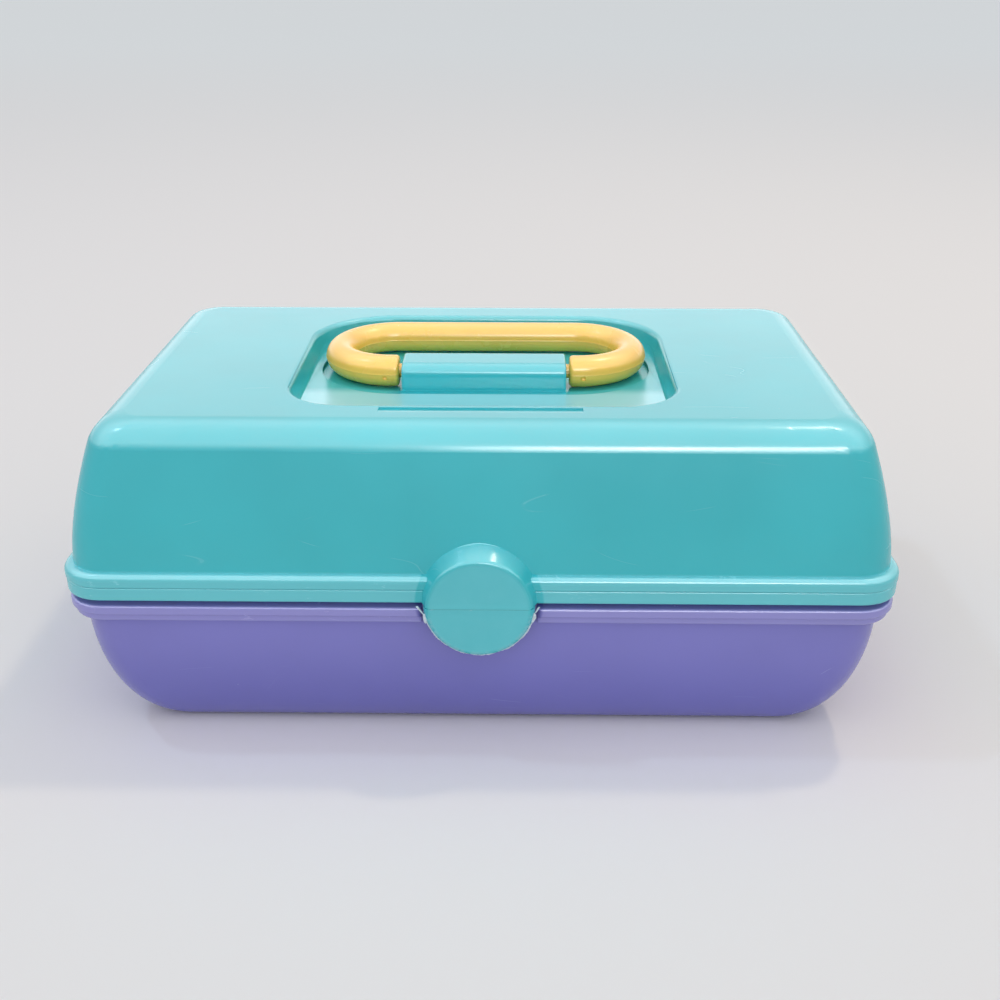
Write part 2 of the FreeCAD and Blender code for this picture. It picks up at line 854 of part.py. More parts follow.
def divider(front, low, height, split_y, x):
    """Loose plate across the front row of a tray."""
    y0 = -front + tray_wall + height * math.tan(tray_draft) + seat_gap
    y1 = split_y - partition / 2 - seat_gap
    z0 = low + tray_floor
    tall = divider_height * height / tray_height
    plate = box(x - divider_thick / 2, x + divider_thick / 2, y0, y1, z0, z0 + tall)
    ends = [e for e in plate.Edges if e.BoundBox.XLength > divider_thick / 2]
    return plate.makeFillet(min(divider_round, tall * corner_share), ends)


def tray(front, back, low, height, split_y):
    outer, inner = tray_walls(front, back, low, height)
    shell = outer.cut(inner)
    ribs = tray_grid(back, low, height, split_y) + divider_guides(front, low, height, split_y)
    return joined([shell] + [rib.common(outer) for rib in ribs])


def lower_tray():
    body = tray(lower_front, lower_back, lower_tray_z, tray_height, lower_split_y)
    taper = tray_half_at_top() - tray_height * math.tan(tray_draft) - tray_wall
    extras = [rod_x(taper + tray_wall / 2, lug_out, arm_lower[0], arm_lower[1], boss_radius)]
    ear_x = tray_half_at_top() - ear_thick
    ear_root = (lower_back - tray_corner - link_half, hinge_z)
    extras.append(bar_x(ear_x, tray_half_at_top(), ear_root, lid_lower, link_half))
    extras.append(rod_x(ear_x, lug_out, lid_lower[0], lid_lower[1], boss_radius))
    sided = []
    for piece in extras:
        sided += both_sides(piece)
    body = joined([body] + sided)
    for y, z in (arm_lower, lid_lower):
        for tool in both_sides(rod_x(lug_in, lug_out + overrun, y, z, pivot_radius)):
            body = body.cut(tool)
    return body


def upper_tray():
    body = tray(upper_front, upper_back, upper_tray_z, upper_height, upper_split_y)
    top_z = upper_tray_z + upper_height / 2
    sided = []
    for y, z in (arm_upper, lid_upper):
        lug = bar_x(lug_in, lug_out, (y, z), (y, top_z), link_half)
        low = upper_tray_z + tray_floor_round
        pad = box(tray_half_at_top() - tray_wall, lug_in, y - link_half, y + link_half, low, top_z)
        sided += both_sides(lug) + both_sides(pad)
    inner = tray_walls(upper_front, upper_back, upper_tray_z, upper_height)[1]
    sided = [piece.cut(inner) for piece in sided]
    body = joined([body] + sided)
    for y, z in (arm_upper, lid_upper):
        for tool in both_sides(rod_x(lug_in, lug_out + overrun, y, z, pivot_radius)):
            body = body.cut(tool)
    return body


# Links, pins and screws

def tray_arm():
    arm = bar_x(link_in, link_out, arm_pivot, arm_upper, link_half)
    for y, z in (arm_pivot, arm_lower, arm_upper):
        arm = arm.cut(rod_x(link_in - overrun, link_out + overrun, y, z, pivot_radius + running))
    return arm


def lid_bracket():
    """Flat bracket on the lid that carries the rear pivots of both trays."""
    bar = bar_x(link_in, link_out, (bracket_high_y - link_half, hinge_z), lid_upper, link_half)
    plate = box(link_in, link_out, bracket_low_y, bracket_high_y, hinge_z, hinge_z + bracket_top_rise)
    tops = []
    for edge in plate.Edges:
        if edge.BoundBox.XLength > link_thick / 2 and edge.BoundBox.ZMin > hinge_z + link_half:
            tops.append(edge)
    plate = plate.makeFillet(bracket_corner, tops)
    body = joined([bar, plate])
    for y, z in (lid_lower, lid_upper):
        body = body.cut(rod_x(link_in - overrun, link_out + overrun, y, z, pivot_radius + running))
    for y, z in bracket_screw_points():
        body = body.cut(rod_x(link_in - overrun, link_out + overrun, y, z, screw_radius))
    return body


def tray_pivot(y, z):
    """Headed pivot from a tray lug out through a link."""
    shank = rod_x(lug_in, link_out + head_gap + pivot_head_thick / 2, y, z, pivot_radius)
    head = rod_x(link_out + head_gap, link_out + head_gap + pivot_head_thick, y, z, pivot_head)
    outer = [e for e in head.Edges if e.BoundBox.XMin > link_out + head_gap + pivot_head_thick / 2]
    return joined([shank, head.makeFillet(pivot_head_thick / 2, outer)])


def arm_rivet():
    """Headed pivot through an arm, with a shoulder that keeps the arm off the base wall."""
    y, z = arm_pivot
    tip = base_inner_x(arm_z) + pivot_bite
    shank = rod_x(link_in - head_gap - pivot_head_thick / 2, tip, y, z, pivot_radius)
    head = rod_x(link_in - head_gap - pivot_head_thick, link_in - head_gap, y, z, pivot_head)
    seat = base_inner_x(z - boss_radius) - seat_gap
    shoulder = rod_x(link_out + swing_gap, seat, y, z, boss_radius)
    return joined([shank, head, shoulder])


def bracket_screw(y, z):
    shank = rod_x(link_in - screw_head_thick / 2, link_in + screw_length, y, z, screw_radius)
    head = rod_x(link_in - screw_head_thick, link_in, y, z, screw_head)
    return joined([shank, head])


# Mirror

def frame_screw_tip():
    return recess_floor - frame_screw_bite


def mirror_frame():
    body = prism(rounded_rect(frame_half_x, frame_half_y, frame_corner, frame_bottom), frame_height)
    body = eased(body, frame_ledge, frame_bottom)
    window_x = frame_half_x - frame_border
    window_y = frame_half_y - frame_border
    hole = rounded_rect(window_x, window_y, frame_corner / 2, frame_bottom - overrun)
    body = body.cut(prism(hole, frame_height + 2 * overrun))
    seat = rounded_rect(
        window_x + mirror_overlap + seat_gap, window_y + mirror_overlap + seat_gap,
        frame_corner / 2, frame_bottom + frame_ledge,
    )
    body = body.cut(prism(seat, frame_height))
    for x, y in frame_screw_points():
        body = body.cut(rod_z(frame_bottom - overrun, frame_top + overrun, x, y, frame_screw_radius))
        head_top = frame_bottom + frame_screw_head_thick
        body = body.cut(rod_z(frame_bottom - overrun, head_top, x, y, frame_screw_head + seat_gap))
    return body


def mirror():
    half_x = frame_half_x - frame_border + mirror_overlap
    half_y = frame_half_y - frame_border + mirror_overlap
    outline = rounded_rect(half_x, half_y, frame_corner / 2, frame_bottom + frame_ledge)
    return prism(outline, mirror_thick)


def mirror_screw(x, y):
    head_top = frame_bottom + frame_screw_head_thick
    shank = rod_z(frame_bottom + frame_screw_head_thick / 2, frame_screw_tip(), x, y, frame_screw_radius)
    head = rod_z(frame_bottom, head_top, x, y, frame_screw_head)
    return joined([shank, head])


def group(shapes):
    return Part.makeCompound(shapes)


def sided_nodes(name, shape):
    return {name + "_right": shape, name + "_left": mirrored(shape)}


def all_nodes():
    nodes = {"base_shell": base_shell(), "lid_shell": lid_shell()}
    nodes["latch_flap"] = latch_flap()
    nodes["handle"] = handle()
    nodes.update(sided_nodes("hinge_pin", hinge_pin()))
    nodes["lower_tray"] = lower_tray()
    nodes["upper_tray"] = upper_tray()
    nodes.update(sided_nodes("tray_arm", tray_arm()))
    nodes.update(sided_nodes("lid_bracket", lid_bracket()))
    screws = []
    for y, z in bracket_screw_points():
        screws += both_sides(bracket_screw(y, z))
    nodes["bracket_screws"] = group(screws)
    nodes["base_arm_pivots"] = group(both_sides(arm_rivet()))
    for name, places in (("lower", (arm_lower, lid_lower)), ("upper", (arm_upper, lid_upper))):
        pivots = []
        for y, z in places:
            pivots += both_sides(tray_pivot(y, z))
        nodes[name + "_tray_pivots"] = group(pivots)
    places = ("left", "right")
    for place, x in zip(places, divider_places()):
        lower = divider(lower_front, lower_tray_z, tray_height, lower_split_y, x)
        upper = divider(upper_front, upper_tray_z, upper_height, upper_split_y, x)
        nodes["lower_divider_" + place] = lower
        nodes["upper_divider_" + place] = upper
    nodes["mirror"] = mirror()
    nodes["mirror_frame"] = mirror_frame()
    nodes["mirror_screws"] = group([mirror_screw(x, y) for x, y in frame_screw_points()])
    return nodes


os.makedirs("parts", exist_ok=True)
for node_name, node_shape in all_nodes().items():
    node_shape.exportStep("parts/" + node_name + ".step")
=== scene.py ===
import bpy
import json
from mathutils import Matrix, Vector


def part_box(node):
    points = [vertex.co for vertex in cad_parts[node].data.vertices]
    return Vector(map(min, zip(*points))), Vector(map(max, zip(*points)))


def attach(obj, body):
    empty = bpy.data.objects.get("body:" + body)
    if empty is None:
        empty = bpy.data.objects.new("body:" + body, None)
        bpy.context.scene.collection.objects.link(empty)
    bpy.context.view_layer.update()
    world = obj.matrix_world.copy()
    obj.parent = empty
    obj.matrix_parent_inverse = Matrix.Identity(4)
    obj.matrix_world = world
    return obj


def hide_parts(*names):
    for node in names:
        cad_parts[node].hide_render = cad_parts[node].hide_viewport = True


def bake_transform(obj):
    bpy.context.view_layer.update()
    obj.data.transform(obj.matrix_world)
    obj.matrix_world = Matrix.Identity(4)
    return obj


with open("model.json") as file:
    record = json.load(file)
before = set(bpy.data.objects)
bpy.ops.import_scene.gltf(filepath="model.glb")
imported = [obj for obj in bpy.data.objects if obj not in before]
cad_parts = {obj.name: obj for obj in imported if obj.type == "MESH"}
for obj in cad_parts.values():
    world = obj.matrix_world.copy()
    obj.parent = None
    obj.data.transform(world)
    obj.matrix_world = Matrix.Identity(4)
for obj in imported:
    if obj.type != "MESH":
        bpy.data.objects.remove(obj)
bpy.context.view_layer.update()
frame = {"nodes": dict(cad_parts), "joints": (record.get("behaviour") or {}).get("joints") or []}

import json
import math
import random
from collections import namedtuple

import bmesh
import bpy
from bpy.props import FloatProperty, FloatVectorProperty, IntProperty, PointerProperty
from mathutils import Matrix, Vector

bl_info = {
    "name": "Makeup Case",
    "version": (1, 0, 0),
    "blender": (4, 5, 0),
    "location": "View3D > Sidebar > Makeup Case",
    "description": "Finishes and moulding details of a two-tone makeup case",
    "category": "Object",
}

# Places that come from the frame

FULL_TURN = 2 * math.pi
HALF_TURN = math.pi


def joint_point(name):
    """A point on a joint's axis at rest."""
    for joint in frame["joints"]:
        if joint["name"] == name:
            return Vector(joint["pos_m"])
    raise ValueError("the frame has no joint " + name)


crease = joint_point("latch_crease")
pivot = joint_point("handle_pivot")
parting_z = joint_point("lid_hinge").z
grip_low, grip_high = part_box("handle")
grip_radius = (grip_high.z - grip_low.z) / 2
foot_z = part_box("base_shell")[0].z


# Sizes and colours that a user would change

def colour(name, description, default):
    return FloatVectorProperty(
        name=name, description=description, default=default, subtype="COLOR", size=3, min=0, max=1
    )


def length(name, description, default):
    return FloatProperty(name=name, description=description, default=default, unit="LENGTH", precision=5)


def turning(name, description, default):
    return FloatProperty(name=name, description=description, default=default, subtype="ANGLE", precision=3)


def amount(name, description, default):
    return FloatProperty(name=name, description=description, default=default, min=0, soft_max=1)


def power(name, description, default):
    return FloatProperty(name=name, description=description, default=default, min=0)


class CASE_PG_plastics(bpy.types.PropertyGroup):
    """Colours and gloss of the mouldings."""

    aqua: colour("Aqua", "Plastic of the lid and the latch", (0.046, 0.47, 0.52))
    lavender: colour("Lavender", "Plastic of the base", (0.205, 0.195, 0.54))
    cream: colour("Cream", "Plastic of the handle", (0.97, 0.54, 0.085))
    tray: colour("Tray", "Plastic of the trays and dividers", (0.42, 0.36, 0.66))
    link: colour("Link", "Plastic of arms, brackets and rivets", (0.72, 0.72, 0.75))
    burr: colour("Burr", "Torn and stressed plastic", (0.62, 0.70, 0.76))
    # Also painted as a sheen on the level floor at the front of the recess.
    worn: colour("Worn aqua", "Hazed and rubbed plastic of the lid", (0.40, 0.80, 0.86))
    # Painted shade, blended into the base towards its foot.
    foot_shade_lavender: colour("Deep lavender", "Plastic of the lower shell near its foot", (0.09, 0.095, 0.40))
    faded: colour("Worn lavender", "Hazed and rubbed plastic of the base", (0.52, 0.50, 0.78))
    gloss: amount("Gloss roughness", "Roughness of the outside mouldings", 0.21)
    satin: amount("Satin roughness", "Roughness of the inside mouldings", 0.34)
    peel: length("Peel depth", "Depth of the moulding's orange peel", 0.00002)


class CASE_PG_metals(bpy.types.PropertyGroup):
    """Colours of the metal and the mirror."""

    steel: colour("Steel", "Hinge wire and screws", (0.56, 0.56, 0.58))
    silver: colour("Silvering", "Face of the mirror", (0.85, 0.87, 0.87))
    steel_roughness: amount("Steel roughness", "Roughness of wire and screws", 0.28)


class CASE_PG_handle(bpy.types.PropertyGroup):
    """Moulding details of the looped handle."""

    end_x: length("End", "Middle of the case to the cut ends of the tube", 0.0368)
    end_round: length("End round", "Rounding of the cut ends", 0.0016)
    stub_radius: length("Stub radius", "Radius of the pivot stubs", 0.003)
    stub_end: length("Stub end", "Middle of the case to the tip of a stub", 0.0302)
    seam_height: length("Seam height", "How far the parting seam stands out", 0.00014)
    seam_half: length("Seam half width", "Half the width of the parting seam", 0.00035)
    dimple_radius: length("Dimple radius", "Radius of the gate marks near the ends", 0.0011)
    dimple_inset: length("Dimple inset", "Gate marks from the cut ends", 0.006)


class CASE_PG_latch(bpy.types.PropertyGroup):
    """Crease and worn edge of the latch."""

    face_radius: length("Face radius", "Radius of the round disc at its front", 0.0204)
    face_round: length("Face round", "Rounding of the edge of the disc", 0.002)
    clear_radius: length("Clear radius", "Radius round the disc that has no rubbed patches", 0.0245)
    crease_depth: length("Crease depth", "Crease line behind the face of the disc", 0.0001)
    web_half: length("Web half height", "Half the height of the thin web across the crease", 0.003)
    web_rise: length("Web rise", "How far the web swells over the crease", 0.000175)
    web_sunk: length("Web sunk", "How far the edges of the web run into the face", 0.00001)
    web_thick: length("Web thickness", "Thickness of the web", 0.00022)
    burr_inner: length("Burr root", "Inner radius of the torn edge", 0.0208)
    burr_outer: length("Burr reach", "Outer radius of the torn edge", 0.0219)
    burr_ragged: length("Burr raggedness", "How much the torn edge varies", 0.0006)
    burr_thick: length("Burr thickness", "Thickness of the torn edge", 0.0005)
    burr_behind: length("Burr behind", "Torn edge behind the face of the flap", 0.0027)
    seed: IntProperty(name="Seed", description="Pattern of the torn edge", default=7)


class CASE_PG_recess(bpy.types.PropertyGroup):
    """Soft slopes and skin of the floor in the handle recess."""

    half_x: length("Half width", "Half the width of the recess at the top of the lid", 0.0794)
    half_y: length("Half depth", "Half the depth of the recess at the top of the lid", 0.0620)
    front_corner: length("Front corner", "Corner radius at the front", 0.0240)
    back_corner: length("Back corner", "Corner radius at the back", 0.0360)
    rim_round: length("Rim round", "Rounding of the rim of the recess", 0.0024)
    draft: turning("Draft", "Lean of the walls of the recess", math.radians(14))
    sunk: length("Sunk", "How far the floor runs into the wall", 0.0003)
    fade_start: length("Fade start", "Depth in front of the middle where the wall starts to fade", 0.040)
    fade_end: length("Fade end", "Depth in front of the middle where the wall has gone", 0.060)
    well_half_x: length("Well half width", "Half the width of the well", 0.0735)
    well_front: length("Well front", "Front edge of the well", -0.0245)
    well_back: length("Well back", "Back edge of the well", 0.0500)
    well_corner: length("Well corner", "Corner radius of the well", 0.0360)
    top: length("Top", "Height of the flat top of the lid", 0.1340)
    side_high: length("Side height", "Height at which the floor leaves the side walls", 0.13395)
    front_high: length("Front height", "Height at which the floor leaves the top at the front", 0.13403)
    level: length("Floor height", "Height of the skin on the floor", 0.1251)
    foot: length("Foot height", "Height of its lower side", 0.1236)
    side_slope: length("Side slope", "Width of the slope at the side walls", 0.0095)
    front_slope: length("Front slope", "Width of the slope at the front", 0.0074)
    lip: length("Lip", "Rounding of the edge of the well", 0.0006)
    level_gap: length("Level gap", "Level strip kept beside the rounded edge", 0.0002)


class CASE_PG_screws(bpy.types.PropertyGroup):
    """Screws inside the lid."""

    bracket_head: length("Bracket head", "Head radius of the bracket screws", 0.003)
    bracket_length: length("Bracket screw", "Length of the bracket screws", 0.0102)
    mirror_head: length("Mirror head", "Head radius of the mirror screws", 0.0022)
    head_share: amount("Head height share", "Height of a head against its radius", 0.4)
    shank_share: amount("Shank share", "Shank radius against the head radius", 0.47)
    slot_share: amount("Slot share", "Width of the cross recess against the head radius", 0.26)


class CASE_PG_stage(bpy.types.PropertyGroup):
    """Camera, lamps and floor."""

    camera: FloatVectorProperty(
        name="Camera",
        description="Place of the camera",
        default=(0.0135, -0.5054, 0.2973),
        subtype="XYZ",
        unit="LENGTH",
    )
    tilt: turning("Tilt", "Camera below the horizon", math.radians(24.77))
    turn: turning("Turn", "Camera to the left", 0.0135)
    lens: FloatProperty(name="Lens", description="Focal length in millimetres", default=43.06, min=1)
    floor: colour("Floor", "Pale floor near the case", (0.83, 0.80, 0.79))
    floor_far: colour("Far floor", "Pale floor far behind", (0.85, 0.87, 0.87))
    sky: colour("Fill", "Tint of the soft room", (0.95, 0.97, 1.0))
    fill_power: power("Fill", "Strength of the light from all round", 0.705)
    top_gain: amount("Top gain", "How much more of it comes from above", 0.5)
    front_gain: power("Front gain", "How much more of it comes from the front", 0.5)
    back_power: power("Back wall", "Strength of the back wall in reflections", 1.95)
    ceiling_power: power("Ceiling", "Strength of the ceiling in reflections", 6.5)
    right_power: power("Right lamp", "Watts of the warm lamp at the right", 5.6)
    left_power: power("Left lamp", "Watts of the cool lamp at the left", 3.4)
    strip_power: power("Strip", "Watts of the strip above the front edge", 8.0)


settings_groups = {
    "case_plastics": CASE_PG_plastics,
    "case_metals": CASE_PG_metals,
    "case_handle": CASE_PG_handle,
    "case_latch": CASE_PG_latch,
    "case_recess": CASE_PG_recess,
    "case_screws": CASE_PG_screws,
    "case_stage": CASE_PG_stage,
}


# Shader maths

class Wire:
    """An output socket whose arithmetic adds Math nodes."""

    def __init__(self, graph, socket):
        self.graph = graph
        self.socket = socket

    def __add__(self, other):
        return self.graph.maths("ADD", self, other)

    def __sub__(self, other):
        return self.graph.maths("SUBTRACT", self, other)

    def __rsub__(self, other):
        return self.graph.maths("SUBTRACT", other, self)

    def __mul__(self, other):
        return self.graph.maths("MULTIPLY", self, other)

    def __gt__(self, other):
        return self.graph.maths("GREATER_THAN", self, other)

    def __lt__(self, other):
        return self.graph.maths("LESS_THAN", self, other)

    def __abs__(self):
        return self.graph.maths("ABSOLUTE", self)


class Graph:
    """Node tree of one material or of the world."""

    def __init__(self, tree):
        self.tree = tree
        tree.nodes.clear()

    def node(self, kind, settings=None, inputs=None, output=0):
        """Add a node, set it up, feed its sockets and give back one output."""
        made = self.tree.nodes.new(kind)
        for key, value in (settings or {}).items():
            setattr(made, key, value)
        for key, value in (inputs or {}).items():
            if isinstance(value, Wire):
                self.tree.links.new(value.socket, made.inputs[key])
            else:
                made.inputs[key].default_value = value
        if not made.outputs:
            return None
        return Wire(self, made.outputs[output])

    def maths(self, operation, *values, clamp=False):
        settings = {"operation": operation, "use_clamp": clamp}
        return self.node("ShaderNodeMath", settings, dict(enumerate(values)))

    def place(self):
        """Place on the piece itself, in metres."""
        return self.node("ShaderNodeTexCoord", output="Object")

    def along(self, place, axes="XYZ"):
        """Coordinates of a place, one for each axis named."""
        return [self.node("ShaderNodeSeparateXYZ", inputs={0: place}, output=axis) for axis in axes]

    def stretched(self, place, scale, turn=(0, 0, 0)):
        return self.node("ShaderNodeMapping", inputs={"Vector": place, "Scale": scale, "Rotation": turn})

    def noise(self, place, scale, detail=2, roughness=0.5, distortion=0):
        sockets = {
            "Vector": place,
            "Scale": scale,
            "Detail": detail,
            "Roughness": roughness,
            "Distortion": distortion,
        }
        return self.node("ShaderNodeTexNoise", inputs=sockets)

    def cells(self, place, scale):
        """Distance from the nearest scattered point, and a random number for that point."""
        sockets = {"Vector": place, "Scale": scale}
        near = self.node("ShaderNodeTexVoronoi", inputs=sockets, output="Distance")
        tint = self.node("ShaderNodeTexVoronoi", inputs=sockets, output="Color")
        return near, self.node("ShaderNodeSeparateColor", inputs={0: tint})

    def ramp(self, value, low, high):
        """Zero below low, one above high, smooth between; low may be the larger."""
        sockets = {"Value": value, "From Min": low, "From Max": high}
        return self.node("ShaderNodeMapRange", {"interpolation_type": "SMOOTHSTEP"}, sockets)

    def blend(self, share, first, second):
        """Mix two colours."""
        sockets = {0: share, 6: as_colour(first), 7: as_colour(second)}
        return self.node("ShaderNodeMix", {"data_type": "RGBA"}, sockets, output=2)

    def bump(self, height, distance):
        return self.node("ShaderNodeBump", inputs={"Height": height, "Distance": distance, "Strength": 1.0})

    def principled(self, **sockets):
        named = {key.replace("_", " "): value for key, value in sockets.items()}
        return self.node("ShaderNodeBsdfPrincipled", inputs=named)

    def surface(self, **sockets):
        self.node("ShaderNodeOutputMaterial", inputs={"Surface": self.principled(**sockets)})

    def mixed_surface(self, share, first, second):
        shader = self.node("ShaderNodeMixShader", inputs={0: share, 1: first, 2: second})
        self.node("ShaderNodeOutputMaterial", inputs={"Surface": shader})


def as_colour(value):
    return value if isinstance(value, Wire) else (*value, 1.0)


def new_material(name):
    material = bpy.data.materials.new(name)
    material.use_nodes = True
    return material, Graph(material.node_tree)


def shade(colour_value, factor):
    """A colour made lighter or darker by a factor."""
    return tuple(min(channel * factor, 1.0) for channel in colour_value)


# Finishes

PLASTIC_IOR = 1.49
MOTTLE_SCALE = 14.0
MOTTLE_EDGES = (0.25, 0.75)
MOTTLE_SHADES = (0.95, 1.05)
CLOUD_EDGES = (0.3, 0.7)
SMUDGE_SCALE = 42.0
SMUDGE_EDGES = (0.3, 0.8)
SMUDGE_ROUGHNESS = 0.06
PEEL_SCALE = 700.0
PEEL_SHARE = 0.5
NICKS = {"scale": 70.0, "size": 0.022, "kept": 0.16}
NICK_TINT = (0.75, 0.84, 0.86)
NICK_TINT_SHARE = 0.45
NICK_RISE = 2.0
SPECKS = {"scale": 48.0, "size": 0.014, "kept": 0.10}
SPECK_TINT = (0.03, 0.06, 0.07)
SPECK_TINT_SHARE = 0.75
SCRATCH_SCALE = 26.0
SCRATCH_STRETCH_SHARES = (0.22, 1.0, 1.0)
SCRATCH_BEND = 0.3
SCRATCH_WIDTH_SHARE = 0.0016
SCRATCH_TURNS = (0.35, -0.9)
SCRATCH_PATCH_EDGES = (0.58, 0.66)
SCRATCH_TINT_SHARE = 0.05
SCRATCH_ROUGHNESS = 0.08
SCRATCH_DEPTH = 0.3


def mottled(graph, share, tint, shades):
    """A tint that wanders between a darker and a lighter shade of itself."""
    dark, light = shades
    return graph.blend(share, shade(tint, dark), shade(tint, light))


def scratches(graph, place):
    """Sparse fine lines in two directions."""
    total = 0
    for turn in SCRATCH_TURNS:
        run = graph.stretched(place, SCRATCH_STRETCH_SHARES, (turn, turn, turn))
        wave = graph.noise(run, SCRATCH_SCALE, detail=1, distortion=SCRATCH_BEND)
        line = graph.ramp(abs(wave - 0.5), SCRATCH_WIDTH_SHARE, 0)
        patch = graph.ramp(graph.noise(place, SMUDGE_SCALE, detail=1), *SCRATCH_PATCH_EDGES)
        total = line * patch + total
    return total


def nicks(graph, place, scale, size, kept):
    """Small round marks; kept is the share of scattered points that shows."""
    near, chance = graph.cells(place, scale)
    return graph.ramp(near, size, size / 2) * (chance < kept)


def moulded(name, tint, roughness, peel, wear=1.0, marks=None):
    """Moulded plastic: mottle, smudges, orange peel, nicks, specks and fine scratches."""
    material, graph = new_material(name)
    place = graph.place()
    mottle = graph.noise(place, MOTTLE_SCALE, detail=3)
    smudge = graph.noise(place, SMUDGE_SCALE, detail=4, roughness=0.6)
    grain = graph.noise(place, PEEL_SCALE, detail=1)
    lines = scratches(graph, place) * wear
    pale = nicks(graph, place, **NICKS) * wear
    dark = nicks(graph, place, **SPECKS) * wear
    shown = mottled(graph, graph.ramp(mottle, *MOTTLE_EDGES), tint, MOTTLE_SHADES)
    marked = graph.maths("ADD", lines * SCRATCH_TINT_SHARE, pale * NICK_TINT_SHARE, clamp=True)
    shown = graph.blend(marked, shown, NICK_TINT)
    shown = graph.blend(dark * SPECK_TINT_SHARE, shown, SPECK_TINT)
    smudged = graph.ramp(smudge, *SMUDGE_EDGES) * SMUDGE_ROUGHNESS
    gloss = smudged + lines * SCRATCH_ROUGHNESS + (roughness - SMUDGE_ROUGHNESS / 2)
    height = grain * PEEL_SHARE + pale * NICK_RISE - lines * SCRATCH_DEPTH
    if marks:
        shown, gloss, height = marks(graph, place, shown, gloss, height)
    graph.surface(Base_Color=shown, Roughness=gloss, Normal=graph.bump(height, peel), IOR=PLASTIC_IOR)
    return material


RECESS_SHADES = (0.96, 1.04)
# Painted shade: darker shades for the sloping walls of the recess.
RECESS_SLOPE_SHADE = (0.84, 0.92)
RECESS_DULL = {"Roughness": 0.5, "Specular_IOR_Level": 0.05}
RECESS_LEVEL_EDGES = (0.92, 0.985)
# Painted sheen: a paler tint on the front of the level floor of the recess.
RECESS_SHEEN_FRONT = (-0.016, -0.026)
RECESS_SHEEN_SHARE = 0.75


def recessed(name, tint, worn, roughness):
    """Plastic of the recess: dull, with painted shade in darker shades, where it slopes, glossy like the top
    where it is level, with a painted sheen that makes the level floor paler towards the front.
    """
    material, graph = new_material(name)
    place = graph.place()
    upward = graph.along(graph.node("ShaderNodeNewGeometry", output="Normal"), "Z")[0]
    forward = graph.along(place, "Y")[0]
    cloud = graph.ramp(graph.noise(place, MOTTLE_SCALE, detail=3), *MOTTLE_EDGES)
    shown = mottled(graph, cloud, tint, RECESS_SHADES)
    # Painted sheen: the floor turns paler towards the front.
    shown = graph.blend(graph.ramp(forward, *RECESS_SHEEN_FRONT) * RECESS_SHEEN_SHARE, shown, worn)
    # Painted shade: a darker tint where the recess slopes.
    deep = mottled(graph, cloud, tint, RECESS_SLOPE_SHADE)
    glossy = graph.principled(Base_Color=shown, Roughness=roughness, IOR=PLASTIC_IOR)
    dull = graph.principled(Base_Color=deep, **RECESS_DULL)
    graph.mixed_surface(graph.ramp(upward, *RECESS_LEVEL_EDGES), dull, glossy)
    return material


DISC_CLOUD_SCALE = 140.0
DISC_TINT_SHARE = 0.2
DISC_ROUGHNESS = 0.4
CREASE_HALF = (0.00022, 0.00008)
# Painted shade: a dark line along the crease.
CREASE_SHADE_TINT = (0.02, 0.20, 0.22)
CREASE_SHADE_SHARE = 0.45
CREASE_DENT = 3.0
STREAK_HALF = (0.0006, 0.0002)
STREAK_SCALE = 620.0
STREAK_STRETCH_SHARES = (1.0, 1.0, 2.2)
STREAK_EDGES = (0.52, 0.60)
STREAK_TINT_SHARE = 0.8
STREAK_RISE = 1.5
SPREAD_SCALE = 75.0
SPREAD_EDGES = (0.56, 0.64)
RAGGED_SCALE = 420.0
RAGGED_EDGES = (0.40, 0.60)
RAGGED_BELOW = (0.001, 0.006)
RAGGED_RIM_SHARE = 0.3
RAGGED_SHARE = 0.2


def disc_marks(stress, worn, radius, rounding):
    """Hazy latch disc with a painted dark shade line along the crease, pale streaks beside it and a torn
    lower edge.
    """

    def layer(graph, place, shown, gloss, height):
        x, y, z = graph.along(place)
        below = crease.z - z
        reach = graph.maths("SQRT", x * x + below * below)
        front = graph.ramp(y, crease.y + 2 * rounding, crease.y + rounding)
        face = front * graph.ramp(reach, radius, radius - rounding)
        haze = face * (graph.noise(place, DISC_CLOUD_SCALE, detail=4, roughness=0.6) * 0.5 + 0.5)
        line = graph.ramp(abs(below), *CREASE_HALF) * face
        streak = graph.noise(graph.stretched(place, STREAK_STRETCH_SHARES), STREAK_SCALE, detail=3)
        spread = graph.ramp(graph.noise(place, SPREAD_SCALE, detail=1), *SPREAD_EDGES)
        near_line = graph.ramp(abs(below), *STREAK_HALF) * face
        white = near_line * graph.ramp(streak, *STREAK_EDGES) * spread
        edge = graph.ramp(reach, radius - rounding, radius - RAGGED_RIM_SHARE * rounding)
        torn = edge * graph.ramp(below, *RAGGED_BELOW) * front
        shreds = graph.noise(place, RAGGED_SCALE, detail=4, roughness=0.7)
        ragged = torn * graph.ramp(shreds, *RAGGED_EDGES) * RAGGED_SHARE
        shown = graph.blend(haze * DISC_TINT_SHARE, shown, worn)
        # Painted shade along the crease line.
        shown = graph.blend(line * CREASE_SHADE_SHARE, shown, CREASE_SHADE_TINT)
        shown = graph.blend(graph.maths("MAXIMUM", white * STREAK_TINT_SHARE, ragged), shown, stress)
        gloss = haze * DISC_ROUGHNESS + ragged + gloss
        return shown, gloss, white * STREAK_RISE - line * CREASE_DENT + height

    return layer


RIM_SOFT = 0.001
RIM_TINT_SHARE = 0.24
RUB_SCALE = 85.0
RUB_STRETCH_SHARES = (1.0, 1.0, 3.0)
RUB_EDGES = (0.60, 0.72)
RUB_SHARE = 0.12
# Share of the painted shade at the foot of the base.
FOOT_SHADE_SHARE = 0.45


